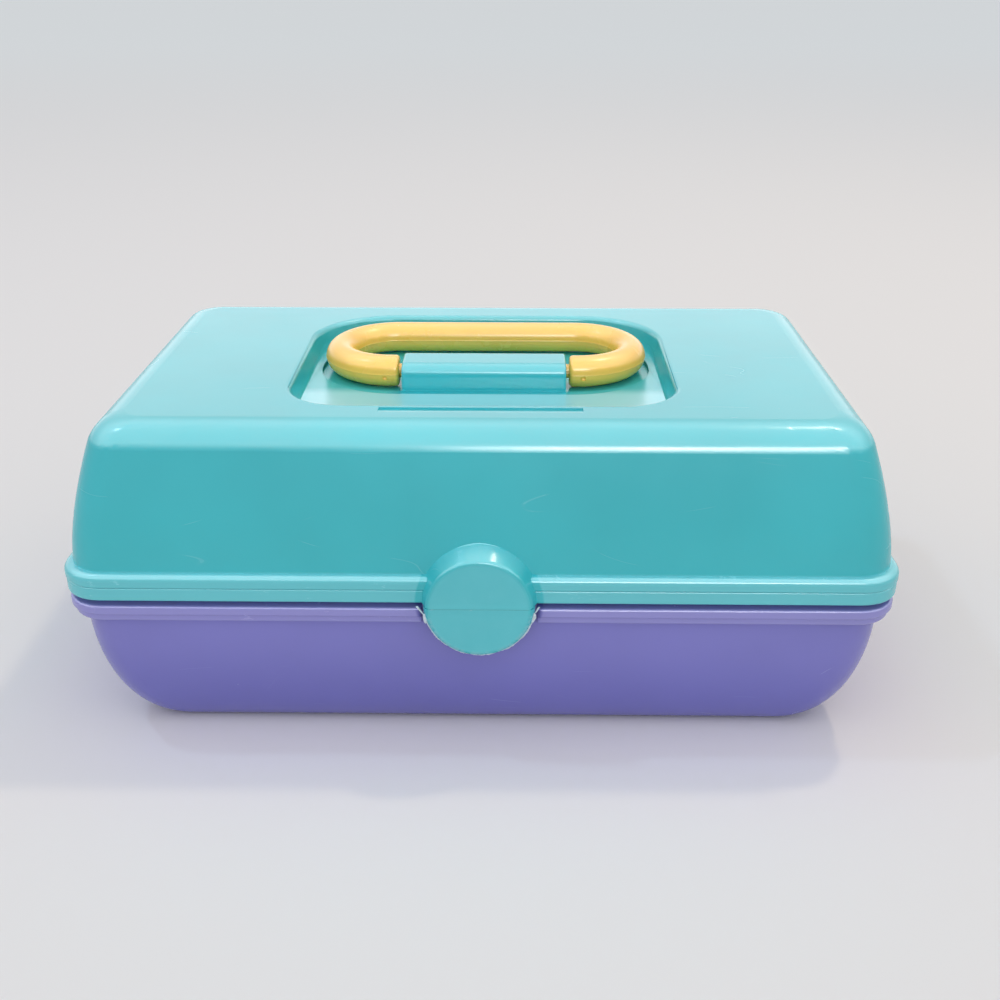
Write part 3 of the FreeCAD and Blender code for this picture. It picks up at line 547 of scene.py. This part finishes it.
def edge_marks(low, high, pale, clear):
    """A paler band along the rim beads between two heights, with rubbed streaks on it, clear of the disc in
    front.
    """

    def layer(graph, place, shown, gloss, height):
        x, y, z = graph.along(place)
        above = z - crease.z
        reach = graph.maths("SQRT", x * x + above * above)
        level = graph.ramp(z, low - RIM_SOFT, low) * graph.ramp(z, high + RIM_SOFT, high)
        band = level * graph.maths("MAXIMUM", graph.ramp(reach, clear, clear + RIM_SOFT), y > 0.0)
        streaks = graph.noise(graph.stretched(place, RUB_STRETCH_SHARES), RUB_SCALE, detail=5, roughness=0.7)
        worn = band * graph.ramp(streaks, *RUB_EDGES) * RUB_SHARE
        return graph.blend(band * RIM_TINT_SHARE + worn, shown, pale), worn + gloss, height

    return layer


def painted_foot_shade(low, high, tint):
    """Painted shade: the colour darkens towards the foot of a moulding."""

    def layer(graph, place, shown, gloss, height):
        share = graph.ramp(graph.along(place, "Z")[0], high, low) * FOOT_SHADE_SHARE
        return graph.blend(share, shown, tint), gloss, height

    return layer


def layered(*layers):
    """Several layers put on one after another."""

    def layer(graph, place, shown, gloss, height):
        for each in layers:
            shown, gloss, height = each(graph, place, shown, gloss, height)
        return shown, gloss, height

    return layer


TORN_SCALE = 700.0
TORN_SHADES = (0.82, 1.12)
TORN_ROUGHNESS = 0.38
TORN_DEPTH = 0.0002


def torn_plastic(name, tint):
    """Stressed, torn plastic, pale and dull."""
    material, graph = new_material(name)
    cloud = graph.noise(graph.place(), TORN_SCALE, detail=4, roughness=0.65)
    shown = mottled(graph, graph.ramp(cloud, *CLOUD_EDGES), tint, TORN_SHADES)
    gloss = cloud * 0.2 + TORN_ROUGHNESS
    graph.surface(Base_Color=shown, Roughness=gloss, Normal=graph.bump(cloud, TORN_DEPTH), IOR=PLASTIC_IOR)
    return material


METAL_LINE_SCALE = 900.0
METAL_LINE_SHARES = (0.05, 1.0, 1.0)
METAL_LINE_ROUGHNESS = 0.12
METAL_LINE_DEPTH = 0.00001
METAL_HAZE_ROUGHNESS = 0.10
METAL_SHADES = (0.92, 1.08)


def bright_metal(name, tint, roughness):
    """Drawn wire and turned heads: fine lines along X."""
    material, graph = new_material(name)
    place = graph.place()
    lines = graph.noise(graph.stretched(place, METAL_LINE_SHARES), METAL_LINE_SCALE, detail=2)
    haze = graph.noise(place, SMUDGE_SCALE, detail=3)
    shown = mottled(graph, graph.ramp(haze, *CLOUD_EDGES), tint, METAL_SHADES)
    gloss = lines * METAL_LINE_ROUGHNESS + haze * METAL_HAZE_ROUGHNESS + (roughness - METAL_HAZE_ROUGHNESS)
    relief = graph.bump(lines, METAL_LINE_DEPTH)
    graph.surface(Base_Color=shown, Metallic=1.0, Roughness=gloss, Normal=relief)
    return material


DUST = {"scale": 160.0, "size": 0.05, "kept": 0.12}
DUST_TINT = (0.6, 0.6, 0.6)
DUST_TINT_SHARE = 0.3
DUST_ROUGHNESS = 0.2
MIRROR_HAZE_SCALE = 20.0
MIRROR_HAZE_EDGES = (0.45, 0.8)
MIRROR_HAZE_ROUGHNESS = 0.04
MIRROR_ROUGHNESS = 0.02


def silvered(name, tint):
    """Polished mirror with a trace of dust."""
    material, graph = new_material(name)
    place = graph.place()
    dust = nicks(graph, place, **DUST)
    haze = graph.ramp(graph.noise(place, MIRROR_HAZE_SCALE, detail=4), *MIRROR_HAZE_EDGES)
    shown = graph.blend(dust * DUST_TINT_SHARE, tint, DUST_TINT)
    gloss = haze * MIRROR_HAZE_ROUGHNESS + dust * DUST_ROUGHNESS + MIRROR_ROUGHNESS
    graph.surface(Base_Color=shown, Metallic=1.0, Roughness=gloss)
    return material


# Mesh helpers

SHARP_ANGLE = math.radians(38)


def placed(name, data):
    """New object in the scene."""
    made = bpy.data.objects.new(name, data)
    bpy.context.scene.collection.objects.link(made)
    return made


def add_piece(name, mesh, material, body):
    """Put a finished mesh in the scene, on its body and with its slot."""
    piece = placed(name, mesh)
    mesh.materials.append(material)
    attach(piece, body)
    return piece


def settled(mesh, name):
    """Finished mesh from a working one: outward faces, smooth shading, sharp creases kept."""
    bmesh.ops.recalc_face_normals(mesh, faces=mesh.faces)
    for face in mesh.faces:
        face.smooth = True
    for edge in mesh.edges:
        if len(edge.link_faces) == 2 and edge.calc_face_angle(0) > SHARP_ANGLE:
            edge.smooth = False
    data = bpy.data.meshes.new(name)
    mesh.to_mesh(data)
    mesh.free()
    return data


def bridge(mesh, rings, closed_ends=True):
    """Skin a list of point rings, with both ends closed unless told otherwise."""
    rows = [[mesh.verts.new(point) for point in ring] for ring in rings]
    for row, following in zip(rows, rows[1:]):
        for index in range(len(row)):
            after = (index + 1) % len(row)
            mesh.faces.new((row[index], row[after], following[after], following[index]))
    if closed_ends:
        mesh.faces.new(rows[0])
        mesh.faces.new(rows[-1])


def carved(mesh, tool):
    """One mesh with another taken away from it."""
    body = placed("carving", mesh)
    cutter = placed("cutter", tool)
    cut = body.modifiers.new("cut", "BOOLEAN")
    cut.operation = "DIFFERENCE"
    cut.solver = "EXACT"
    cut.object = cutter
    bpy.context.view_layer.update()
    whole = body.evaluated_get(bpy.context.evaluated_depsgraph_get())
    result = bpy.data.meshes.new_from_object(whole)
    bpy.data.objects.remove(body)
    bpy.data.objects.remove(cutter)
    work = bmesh.new()
    work.from_mesh(result)
    return settled(work, mesh.name)


def paint(material, *nodes):
    """Give CAD nodes a finish."""
    for node in nodes:
        slots = frame["nodes"][node].data.materials
        slots.clear()
        slots.append(material)


# Handle

ROUND_STEPS = 56
BEND_STEPS = 44
GRIP_STEPS = 24
LEG_STEPS = 6
END_STEPS = 6
GATE_SLOPE = math.radians(12)
GATE_SEGMENTS = 24
GATE_RINGS = 16
HANDLE_DULLER = 0.06


def handle_line(end_x):
    """Middle line of the loop: points and outward directions, from the right end to the left."""
    reach = grip_high.y - grip_radius - pivot.y
    bend = reach / 2
    bend_x = grip_high.x - grip_radius - bend
    middle_y = pivot.y + bend
    line = []
    for step in range(LEG_STEPS):
        x = end_x + (bend_x - end_x) * step / LEG_STEPS
        line.append((Vector((x, pivot.y, pivot.z)), Vector((0, -1, 0))))
    for step in range(BEND_STEPS + 1):
        angle = -HALF_TURN / 2 + HALF_TURN * step / BEND_STEPS
        out = Vector((math.cos(angle), math.sin(angle), 0))
        line.append((Vector((bend_x, middle_y, pivot.z)) + out * bend, out))
    for step in range(1, GRIP_STEPS // 2 + 1):
        x = bend_x * (1 - 2 * step / GRIP_STEPS)
        line.append((Vector((x, pivot.y + reach, pivot.z)), Vector((0, 1, 0))))
    left = [(Vector((-p.x, p.y, p.z)), Vector((-n.x, n.y, n.z))) for p, n in reversed(line[:-1])]
    return line + left


def tube_ring(point, out, radius, settings):
    """Ring of points round the tube, with the parting seam raised at its sides."""
    turn = settings.seam_half / radius
    lift = {0: settings.seam_height, HALF_TURN: settings.seam_height}
    angles = {FULL_TURN * step / ROUND_STEPS for step in range(ROUND_STEPS)}
    angles |= {turn, FULL_TURN - turn, HALF_TURN - turn, HALF_TURN + turn}
    ring = []
    for angle in sorted(angles):
        size = radius + lift.get(angle, 0)
        ring.append(point + (out * math.cos(angle) + Vector((0, 0, math.sin(angle)))) * size)
    return ring


def handle_mesh(settings):
    """Looped tube with rounded ends, a parting seam and a stub at each end."""
    line = handle_line(settings.end_x + settings.end_round)
    rings = [tube_ring(point, out, grip_radius, settings) for point, out in line]
    start, out = line[0]
    ends = []
    for step in range(1, END_STEPS + 1):
        angle = HALF_TURN / 2 * step / END_STEPS
        shrink = settings.end_round * (1 - math.cos(angle))
        ends.append((settings.end_x + settings.end_round * (1 - math.sin(angle)), grip_radius - shrink))
    ends.append((settings.end_x, settings.stub_radius))
    ends.append((settings.stub_end, settings.stub_radius))
    for x, size in ends:
        spots = [Vector((side * x, start.y, start.z)) for side in (1, -1)]
        right, left = [tube_ring(spot, out, size, settings) for spot in spots]
        rings = [right] + rings + [left]
    work = bmesh.new()
    bridge(work, rings)
    return settled(work, "handle_loop")


def gate_tool(settings):
    """Small round cutters at the gate marks near both ends of the loop."""
    y = pivot.y - grip_radius * math.cos(GATE_SLOPE)
    z = pivot.z - grip_radius * math.sin(GATE_SLOPE)
    work = bmesh.new()
    for side in (1, -1):
        bmesh.ops.create_uvsphere(
            work,
            u_segments=GATE_SEGMENTS,
            v_segments=GATE_RINGS,
            radius=settings.dimple_radius,
            matrix=Matrix.Translation((side * (settings.end_x + settings.dimple_inset), y, z)),
        )
    return settled(work, "gate_tool")


class CASE_OT_handle(bpy.types.Operator):
    """Looped handle with its parting seam, gate marks and stubs"""

    bl_idname = "case.handle"
    bl_label = "Handle"

    def execute(self, context):
        plastics = context.scene.case_plastics
        settings = context.scene.case_handle
        mesh = carved(handle_mesh(settings), gate_tool(settings))
        roughness = plastics.gloss + HANDLE_DULLER
        cream = moulded("cream_plastic", plastics.cream, roughness, plastics.peel, wear=0.5)
        piece = add_piece("handle_loop", mesh, cream, "handle")
        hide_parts("handle")
        return {"FINISHED"}


# Shells

RIM_BELOW = 0.009
RIM_ABOVE = 0.012


class CASE_OT_shells(bpy.types.Operator):
    """Finish of the lid, the latch flap and the base"""

    bl_idname = "case.shells"
    bl_label = "Shells"

    def execute(self, context):
        plastics = context.scene.case_plastics
        latch = context.scene.case_latch
        rim_low = parting_z - RIM_BELOW
        rim_high = parting_z + RIM_ABOVE
        lid_rim = edge_marks(rim_low, rim_high, plastics.worn, latch.clear_radius)
        base_rim = edge_marks(rim_low, rim_high, plastics.faded, latch.clear_radius)
        disc = disc_marks(plastics.burr, plastics.worn, latch.face_radius, latch.face_round)
        # Painted shade that darkens the base towards its foot.
        foot = painted_foot_shade(foot_z, rim_low, plastics.foot_shade_lavender)
        finish = (plastics.gloss, plastics.peel)
        aqua = moulded("aqua_plastic", plastics.aqua, *finish, marks=layered(lid_rim, disc))
        lavender = moulded("lavender_plastic", plastics.lavender, *finish, marks=layered(foot, base_rim))
        paint(aqua, "lid_shell", "latch_flap")
        paint(lavender, "base_shell")
        return {"FINISHED"}


# Slopes and floor skin of the handle recess

DISH_STEPS = 20
DISH_SHARES = (0.0, 0.05, 0.1, 0.2, 0.3, 0.4, 0.5, 0.6, 0.7, 0.8, 0.9, 1.0)
LIP_TURNS = (0.25, 0.5, 0.75, 1.0)
MERGE_DISTANCE = 1e-6
Spoke = namedtuple("Spoke", "start high span run level_end end front")


def outline(half_x, front, back, front_corner, back_corner):
    """Points of a rounded rectangle, the same number for each corner."""
    corners = ((half_x, front, front_corner, -1), (half_x, back, back_corner, 1))
    right = []
    for x, y, radius, side in corners:
        for step in range(DISH_STEPS + 1):
            share = step / DISH_STEPS
            turn = HALF_TURN / 2 * (share - 1 if side < 0 else share)
            right.append((x - radius + radius * math.cos(turn), y - side * radius + radius * math.sin(turn)))
    return right + [(-x, y) for x, y in reversed(right)]


def smooth(low, high, value):
    """Share that eases from zero at low to one at high."""
    share = min(max((value - low) / (high - low), 0.0), 1.0)
    return share * share * (3 - 2 * share)


def wall_offset(depth, settings):
    """How far the rounded and drafted wall of the recess stands outside its outline at a depth."""
    short = max(settings.rim_round - depth, 0.0)
    rounded = settings.rim_round - math.sqrt(settings.rim_round ** 2 - short ** 2)
    return rounded - depth * math.tan(settings.draft)


def dish_spokes(settings):
    """Lines from the wall of the recess to the well: where each starts, slopes, levels out and ends."""
    half_y = settings.half_y
    wall = outline(settings.half_x, -half_y, half_y, settings.front_corner, settings.back_corner)
    corner = settings.well_corner
    well = outline(settings.well_half_x, settings.well_front, settings.well_back, corner, corner)
    spokes = []
    for outer, inner in zip(wall, well):
        end = Vector(inner)
        span = (end - Vector(outer)).normalized()
        front = smooth(-settings.fade_start, -settings.fade_end, outer[1])
        high = settings.side_high + (settings.front_high - settings.side_high) * front
        out = wall_offset(max(settings.top - high, 0.0), settings) + settings.sunk
        start = Vector(outer) - span * out
        room = (end - start).length - settings.lip
        run = min(settings.side_slope + (settings.front_slope - settings.side_slope) * front, room)
        level_end = max(run + settings.level_gap, room - settings.level_gap)
        spokes.append(Spoke(start, high, span, run, level_end, end, front))
    return spokes


def dish_rings(settings):
    """Rings of the skin from the wall inwards: foot, slope, level strip, rounded lip and foot again."""
    spokes = dish_spokes(settings)
    rings = [[Vector((*spoke.start, settings.foot)) for spoke in spokes]]
    for share in DISH_SHARES:
        hollow = 1 - (1 - share) ** 2
        ring = []
        for spoke in spokes:
            drop = hollow + (smooth(0.0, 1.0, share) - hollow) * spoke.front
            spot = spoke.start + spoke.span * spoke.run * share
            ring.append(Vector((*spot, spoke.high + (settings.level - spoke.high) * drop)))
        rings.append(ring)
    strip = [spoke.start + spoke.span * spoke.level_end for spoke in spokes]
    rings.append([Vector((*spot, settings.level)) for spot in strip])
    for turn in LIP_TURNS:
        angle = HALF_TURN / 2 * turn
        level = settings.level - settings.lip * (1 - math.cos(angle))
        edge = [spoke.end - spoke.span * settings.lip * (1 - math.sin(angle)) for spoke in spokes]
        rings.append([Vector((*spot, level)) for spot in edge])
    rings.append([Vector((*spoke.end, settings.foot)) for spoke in spokes])
    return rings


class CASE_OT_recess(bpy.types.Operator):
    """Soft slopes of the handle recess and the floor round the well that the handle lies in"""

    bl_idname = "case.recess"
    bl_label = "Recess"

    def execute(self, context):
        plastics = context.scene.case_plastics
        rings = dish_rings(context.scene.case_recess)
        work = bmesh.new()
        bridge(work, rings + rings[:1], closed_ends=False)
        bmesh.ops.remove_doubles(work, verts=work.verts, dist=MERGE_DISTANCE)
        mesh = settled(work, "recess_floor")
        plastic = recessed("recess_plastic", plastics.aqua, plastics.worn, plastics.gloss)
        add_piece("recess_floor", mesh, plastic, "lid")
        return {"FINISHED"}


# Crease and torn edge of the latch

SQUARE = ((1, 1), (-1, 1), (-1, -1), (1, -1))
BURR_STEPS = 130
BURR_SPAN_SHARE = 0.80
BURR_CARRIED_SHARE = 0.72
BURR_FRESH_SHARE = 0.28
BURR_BIAS = 0.4
BURR_FADE_POWER = 4
WEB_ROWS = 32
WEB_COLUMNS = 24
WEB_TURN = math.radians(70)
WEB_TURN_STEPS = 5
WEB_EDGE_SHARE = 0.1
WEB_BEND_SHARE = 0.6
FLAKES = (
    (-0.0208, -0.0054, 0.0011, 0.0026),
    (0.0208, -0.0048, 0.0012, 0.0024),
    (0.0187, -0.0088, 0.0012, 0.0018),
)
FLAKE_CORNERS = 11
FLAKE_SIZES = (0.75, 1.15)
FLAKE_PROFILE = ((0.55, 0), (1.0, 0.5), (0.6, 1.2))
SLIVERS = (((-0.0240, -0.0003), (-0.0212, -0.0046)), ((0.0232, -0.0003), (0.0214, -0.0032)))
SLIVER_HALF = 0.0003
SLIVER_STEPS = 6
SLIVER_SIZES = (0.8, 1.2)


def burr_rings(settings, chance):
    """Ragged fin along the lower edge of the flap."""
    front = crease.y - settings.crease_depth + settings.burr_behind
    middle = Vector((crease.x, 0, crease.z))
    inner = settings.burr_inner
    thick = settings.burr_thick
    rough = 0.0
    rings = []
    for step in range(BURR_STEPS + 1):
        share = 2 * step / BURR_STEPS - 1
        angle = (share * BURR_SPAN_SHARE - 1) * HALF_TURN / 2
        rough = BURR_CARRIED_SHARE * rough + BURR_FRESH_SHARE * chance.uniform(-1, 1)
        fade = 1 - abs(share) ** BURR_FADE_POWER
        outer = settings.burr_outer + settings.burr_ragged * (rough + BURR_BIAS) * fade
        near = outer - thick / 3
        out = Vector((math.cos(angle), 0, math.sin(angle)))
        profile = ((inner, 0), (near, 0), (outer, thick / 2), (near, thick), (inner, thick))
        rings.append([middle + out * size + Vector((0, front + y, 0)) for size, y in profile])
    return rings


def flake_rings(settings, chance, flake):
    """Torn flake beside the flap: a ragged plate, thinner at its edge."""
    x, z, half_x, half_z = flake
    front = crease.y - settings.crease_depth + settings.burr_behind - settings.burr_thick
    sizes = [chance.uniform(*FLAKE_SIZES) for corner in range(FLAKE_CORNERS)]
    rings = []
    for shrink, y in FLAKE_PROFILE:
        middle = Vector((crease.x, front + y * settings.burr_thick, crease.z))
        ring = []
        for corner, size in enumerate(sizes):
            angle = FULL_TURN * corner / FLAKE_CORNERS
            across = x + half_x * shrink * size * math.cos(angle)
            up = z + half_z * shrink * size * math.sin(angle)
            ring.append(Vector((across, 0, up)) + middle)
        rings.append(ring)
    return rings


def sliver_rings(settings, chance, sliver):
    """Thin strand of plastic from the lid's lip down to the disc."""
    (x0, z0), (x1, z1) = sliver
    y = crease.y + settings.burr_behind
    rings = []
    for step in range(SLIVER_STEPS + 1):
        share = step / SLIVER_STEPS
        x = crease.x + x0 + (x1 - x0) * share + chance.uniform(-1, 1) * SLIVER_HALF / 3
        z = crease.z + z0 + (z1 - z0) * share
        half = SLIVER_HALF * (1.3 - 0.9 * share) * chance.uniform(*SLIVER_SIZES)
        rings.append([Vector((x + dx * half, y + dy * half, z)) for dx, dy in SQUARE])
    return rings


def web_rings(settings):
    """Thin web that follows the face of the disc across the crease."""
    flat = settings.face_radius - settings.face_round
    turns = [WEB_TURN * step / WEB_TURN_STEPS for step in range(1, WEB_TURN_STEPS + 1)]
    stations = [(-flat, -turn) for turn in reversed(turns)]
    stations += [(flat * (2 * step / WEB_COLUMNS - 1), 0.0) for step in range(WEB_COLUMNS + 1)]
    stations += [(flat, turn) for turn in turns]
    rows = [2 * row / WEB_ROWS - 1 for row in range(WEB_ROWS + 1)]
    levels = [settings.web_half * row * abs(row) for row in rows]
    face = crease.y - settings.crease_depth
    rings = []
    for x, turn in stations:
        out = Vector((math.sin(turn), -math.cos(turn), 0))
        root = Vector((crease.x + x, face + settings.face_round, crease.z)) + out * settings.face_round
        front = []
        back = []
        for level in levels:
            bow = math.cos(HALF_TURN * level / settings.web_half) + 1
            swell = settings.web_rise * bow / 2 - settings.web_sunk
            fill = 1 - (level / settings.web_half) ** 2 + WEB_EDGE_SHARE
            shift = Vector((x * (math.sqrt(1 - (level / flat) ** 2) - 1), 0, level))
            front.append(root + out * swell + shift)
            back.append(root - out * settings.web_thick * fill + shift)
        rings.append(front + back[::-1])
    return rings


def skinned(name, groups):
    """One mesh from several groups of rings."""
    work = bmesh.new()
    for rings in groups:
        bridge(work, rings)
    return settled(work, name)


class CASE_OT_latch(bpy.types.Operator):
    """Web across the crease, torn edge and flakes of the latch"""

    bl_idname = "case.latch"
    bl_label = "Latch"

    def execute(self, context):
        settings = context.scene.case_latch
        chance = random.Random(settings.seed)
        torn = torn_plastic("torn_plastic", context.scene.case_plastics.burr)
        edge = [burr_rings(settings, chance)] + [flake_rings(settings, chance, flake) for flake in FLAKES]
        add_piece("flap_burr", skinned("flap_burr", edge), torn, "latch")
        strands = [sliver_rings(settings, chance, sliver) for sliver in SLIVERS]
        add_piece("lip_strands", skinned("lip_strands", strands), torn, "lid")
        web = placed("crease_web", skinned("crease_web", [web_rings(settings)]))
        web.data.materials.append(frame["nodes"]["lid_shell"].data.materials[0])
        reach = Vector((0, 0, settings.web_half * WEB_BEND_SHARE))
        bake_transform(web)
        return {"FINISHED"}


# Inside

LATHE_STEPS = 28
HEAD_STEPS = 6
HEAD_RIM_SHARE = 0.6
HEAD_TOP_SHARE = 0.02
TIP_SHARE = 0.3
SLOT_DEPTH_SHARE = 0.8
SLOT_REACH_SHARES = (0.2, 0.62)


def screw_rings(place, axis, head, deep, settings):
    """Pan head screw: rings from the tip of the shank to the top of the head."""
    side = axis.orthogonal().normalized()
    across = axis.cross(side)
    tall = head * settings.head_share
    shank = head * settings.shank_share
    rim = tall * HEAD_RIM_SHARE
    profile = [(shank * TIP_SHARE, -deep), (shank, -deep + shank)]
    profile += [(shank, -tall), (head, -tall), (head, -rim)]
    for step in range(1, HEAD_STEPS):
        angle = HALF_TURN / 2 * step / HEAD_STEPS
        profile.append((head * math.cos(angle), rim * (math.sin(angle) - 1)))
    profile.append((head * HEAD_TOP_SHARE, 0))
    rings = []
    for radius, rise in profile:
        ring = []
        for step in range(LATHE_STEPS):
            angle = FULL_TURN * step / LATHE_STEPS
            ring.append(place + axis * rise + (side * math.cos(angle) + across * math.sin(angle)) * radius)
        rings.append(ring)
    return rings


def slot_rings(place, axis, head, settings):
    """Cross recess: two tapered bars to cut from a head."""
    side = axis.orthogonal().normalized()
    narrow, wide = SLOT_REACH_SHARES
    floor = -head * settings.head_share * SLOT_DEPTH_SHARE
    half = head * settings.slot_share / 2
    groups = []
    for along in (side, axis.cross(side)):
        across = axis.cross(along)
        rings = []
        for reach, rise in ((narrow, floor), (wide, head)):
            middle = place + axis * rise
            rings.append([middle + along * a * head * reach + across * b * half for a, b in SQUARE])
        groups.append(rings)
    return groups


def add_screws(name, node, spots, head, deep, material, settings):
    """Screws with cross recesses, one mesh for a CAD node of screws."""
    whole = skinned(name, [screw_rings(place, axis, head, deep, settings) for place, axis in spots])
    for index in range(2):
        bars = [slot_rings(place, axis, head, settings)[index] for place, axis in spots]
        whole = carved(whole, skinned(name + "_recess", bars))
    piece = add_piece(name, whole, material, "lid")
    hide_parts(node)


class CASE_OT_screws(bpy.types.Operator):
    """Cross recessed screws of the brackets and the mirror frame"""

    bl_idname = "case.screws"
    bl_label = "Screws"

    def execute(self, context):
        metals = context.scene.case_metals
        settings = context.scene.case_screws
        steel = bright_metal("screw_steel", metals.steel, metals.steel_roughness)
        low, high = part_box("bracket_screws")
        head = settings.bracket_head
        deep = settings.bracket_length
        spots = []
        for side in (1, -1):
            for y in (low.y + head, high.y - head):
                place = Vector((side * (high.x - deep), y, (low.z + high.z) / 2))
                spots.append((place, Vector((-side, 0, 0))))
        add_screws("bracket_screw_set", "bracket_screws", spots, head, deep, steel, settings)
        low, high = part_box("mirror_screws")
        head = settings.mirror_head
        spots = []
        for x in (low.x + head, high.x - head):
            for y in (low.y + head, high.y - head):
                spots.append((Vector((x, y, low.z)), Vector((0, 0, -1))))
        add_screws("mirror_screw_set", "mirror_screws", spots, head, high.z - low.z, steel, settings)
        return {"FINISHED"}


class CASE_OT_inside(bpy.types.Operator):
    """Finish of the trays, links, pins and mirror"""

    bl_idname = "case.inside"
    bl_label = "Inside"

    def execute(self, context):
        plastics = context.scene.case_plastics
        metals = context.scene.case_metals
        tray = moulded("tray_plastic", plastics.tray, plastics.satin, plastics.peel, wear=0.6)
        link = moulded("link_plastic", plastics.link, plastics.satin, plastics.peel, wear=0.4)
        frame_plastic = moulded("mirror_plastic", plastics.aqua, plastics.gloss, plastics.peel, wear=0.4)
        steel = bright_metal("steel", metals.steel, metals.steel_roughness)
        paint(tray, "lower_tray", "upper_tray")
        for tier in ("lower", "upper"):
            paint(tray, tier + "_divider_left", tier + "_divider_right")
            paint(link, tier + "_tray_pivots")
        for side in ("left", "right"):
            paint(link, "tray_arm_" + side, "lid_bracket_" + side)
            paint(steel, "hinge_pin_" + side)
        paint(link, "base_arm_pivots")
        paint(frame_plastic, "mirror_frame")
        paint(silvered("silvering", metals.silver), "mirror")
        return {"FINISHED"}


# Stage

FLOOR_HALF = 14.0
FLOOR_FADE = (0.4, 4.0)
FLOOR_ROUGHNESS = 0.6
SENSOR_MM = 36.0
CEILING_TILT_SHARE = 0.30
CEILING_EDGE_SHARES = (0.18, 0.27)
OVERHEAD_TILT_SHARE = 0.5
OVERHEAD_EDGE_SHARES = (0.05, 0.8)
LAMP_SIZE = (0.12, 0.12)
STRIP = {"place": (0.24, -1.2, 0.78), "size": (0.58, 0.09)}
RIGHT_LAMP = {"place": (0.70, 0.50, 1.85), "size": LAMP_SIZE, "tint": (1.0, 0.86, 0.62)}
LEFT_LAMP = {"place": (-1.03, 0.06, 1.85), "size": LAMP_SIZE, "tint": (0.50, 0.72, 1.0)}
AIM = Vector((0.0, 0.0, 0.08))


def add_floor(settings):
    """Pale floor that runs to the horizon."""
    material, graph = new_material("pale_floor")
    fade = graph.ramp(graph.along(graph.place(), "Y")[0], *FLOOR_FADE)
    shown = graph.blend(fade, settings.floor, settings.floor_far)
    graph.surface(Base_Color=shown, Roughness=FLOOR_ROUGHNESS, Specular_IOR_Level=0.0)
    work = bmesh.new()
    bmesh.ops.create_grid(work, x_segments=1, y_segments=1, size=FLOOR_HALF)
    mesh = bpy.data.meshes.new("floor")
    work.to_mesh(mesh)
    work.free()
    mesh.materials.append(material)
    floor = placed("floor", mesh)
    floor.location.z = foot_z


def add_lamp(name, watts, place, size, tint=(1.0, 1.0, 1.0)):
    """Soft rectangular lamp turned to the case."""
    data = bpy.data.lights.new(name, "AREA")
    data.shape = "RECTANGLE"
    data.size, data.size_y = size
    data.energy = watts
    data.color = tint
    lamp = placed(name, data)
    lamp.location = place
    lamp.rotation_euler = (AIM - Vector(place)).to_track_quat("-Z", "Y").to_euler()
    return lamp


def set_world(settings):
    """Soft room: gentle light for shading, and a bright ceiling that only reflections see."""
    world = bpy.data.worlds.new("soft_room")
    world.use_nodes = True
    graph = Graph(world.node_tree)
    y, z = graph.along(graph.node("ShaderNodeTexCoord", output="Generated"), "YZ")
    gentle = (z - 0.5) * settings.top_gain + settings.fill_power - y * settings.front_gain
    ceiling = graph.ramp(y * CEILING_TILT_SHARE + z, *CEILING_EDGE_SHARES)
    overhead = graph.ramp(z - y * OVERHEAD_TILT_SHARE, *OVERHEAD_EDGE_SHARES)
    bright = overhead * (settings.ceiling_power - settings.back_power) + settings.back_power
    mirrored = ceiling * (bright - settings.fill_power) + settings.fill_power
    in_gloss = graph.node("ShaderNodeLightPath", output="Is Glossy Ray")
    in_view = graph.node("ShaderNodeLightPath", output="Is Camera Ray")
    level = (mirrored - gentle) * in_gloss + gentle
    tint = graph.blend(in_view, tuple(settings.sky), tuple(settings.floor_far))
    strength = (1.0 - level) * in_view + level
    shader = graph.node("ShaderNodeBackground", inputs={"Color": tint, "Strength": strength})
    graph.node("ShaderNodeOutputWorld", inputs={"Surface": shader})
    bpy.context.scene.world = world


def add_camera(settings):
    data = bpy.data.cameras.new("camera")
    data.sensor_width = SENSOR_MM
    data.lens = settings.lens
    camera = placed("camera", data)
    camera.location = settings.camera
    camera.rotation_euler = (HALF_TURN / 2 - settings.tilt, 0.0, settings.turn)
    bpy.context.scene.camera = camera


class CASE_OT_stage(bpy.types.Operator):
    """Pale floor, soft lamps and the camera"""

    bl_idname = "case.stage"
    bl_label = "Stage"

    def execute(self, context):
        settings = context.scene.case_stage
        context.scene.view_settings.view_transform = "Standard"
        add_floor(settings)
        set_world(settings)
        strip = add_lamp("strip", settings.strip_power, **STRIP)
        strip.visible_diffuse = False
        add_lamp("right_lamp", settings.right_power, **RIGHT_LAMP)
        add_lamp("left_lamp", settings.left_power, **LEFT_LAMP)
        add_camera(settings)
        return {"FINISHED"}


# Panel and running order

operators = (
    CASE_OT_shells,
    CASE_OT_recess,
    CASE_OT_handle,
    CASE_OT_latch,
    CASE_OT_screws,
    CASE_OT_inside,
    CASE_OT_stage,
)


class CASE_PT_panel(bpy.types.Panel):
    """Steps that dress the case"""

    bl_label = "Makeup Case"
    bl_idname = "CASE_PT_panel"
    bl_space_type = "VIEW_3D"
    bl_region_type = "UI"
    bl_category = "Makeup Case"

    def draw(self, context):
        for operator in operators:
            self.layout.operator(operator.bl_idname)


def register():
    for name, group in settings_groups.items():
        bpy.utils.register_class(group)
        setattr(bpy.types.Scene, name, PointerProperty(type=group))
    for operator in operators:
        bpy.utils.register_class(operator)
    bpy.utils.register_class(CASE_PT_panel)


def unregister():
    bpy.utils.unregister_class(CASE_PT_panel)
    for operator in reversed(operators):
        bpy.utils.unregister_class(operator)
    for name, group in settings_groups.items():
        delattr(bpy.types.Scene, name)
        bpy.utils.unregister_class(group)


def main():
    register()
    for operator in operators:
        area, name = operator.bl_idname.split(".")
        getattr(getattr(bpy.ops, area), name)()


if __name__ == "__main__":
    main()
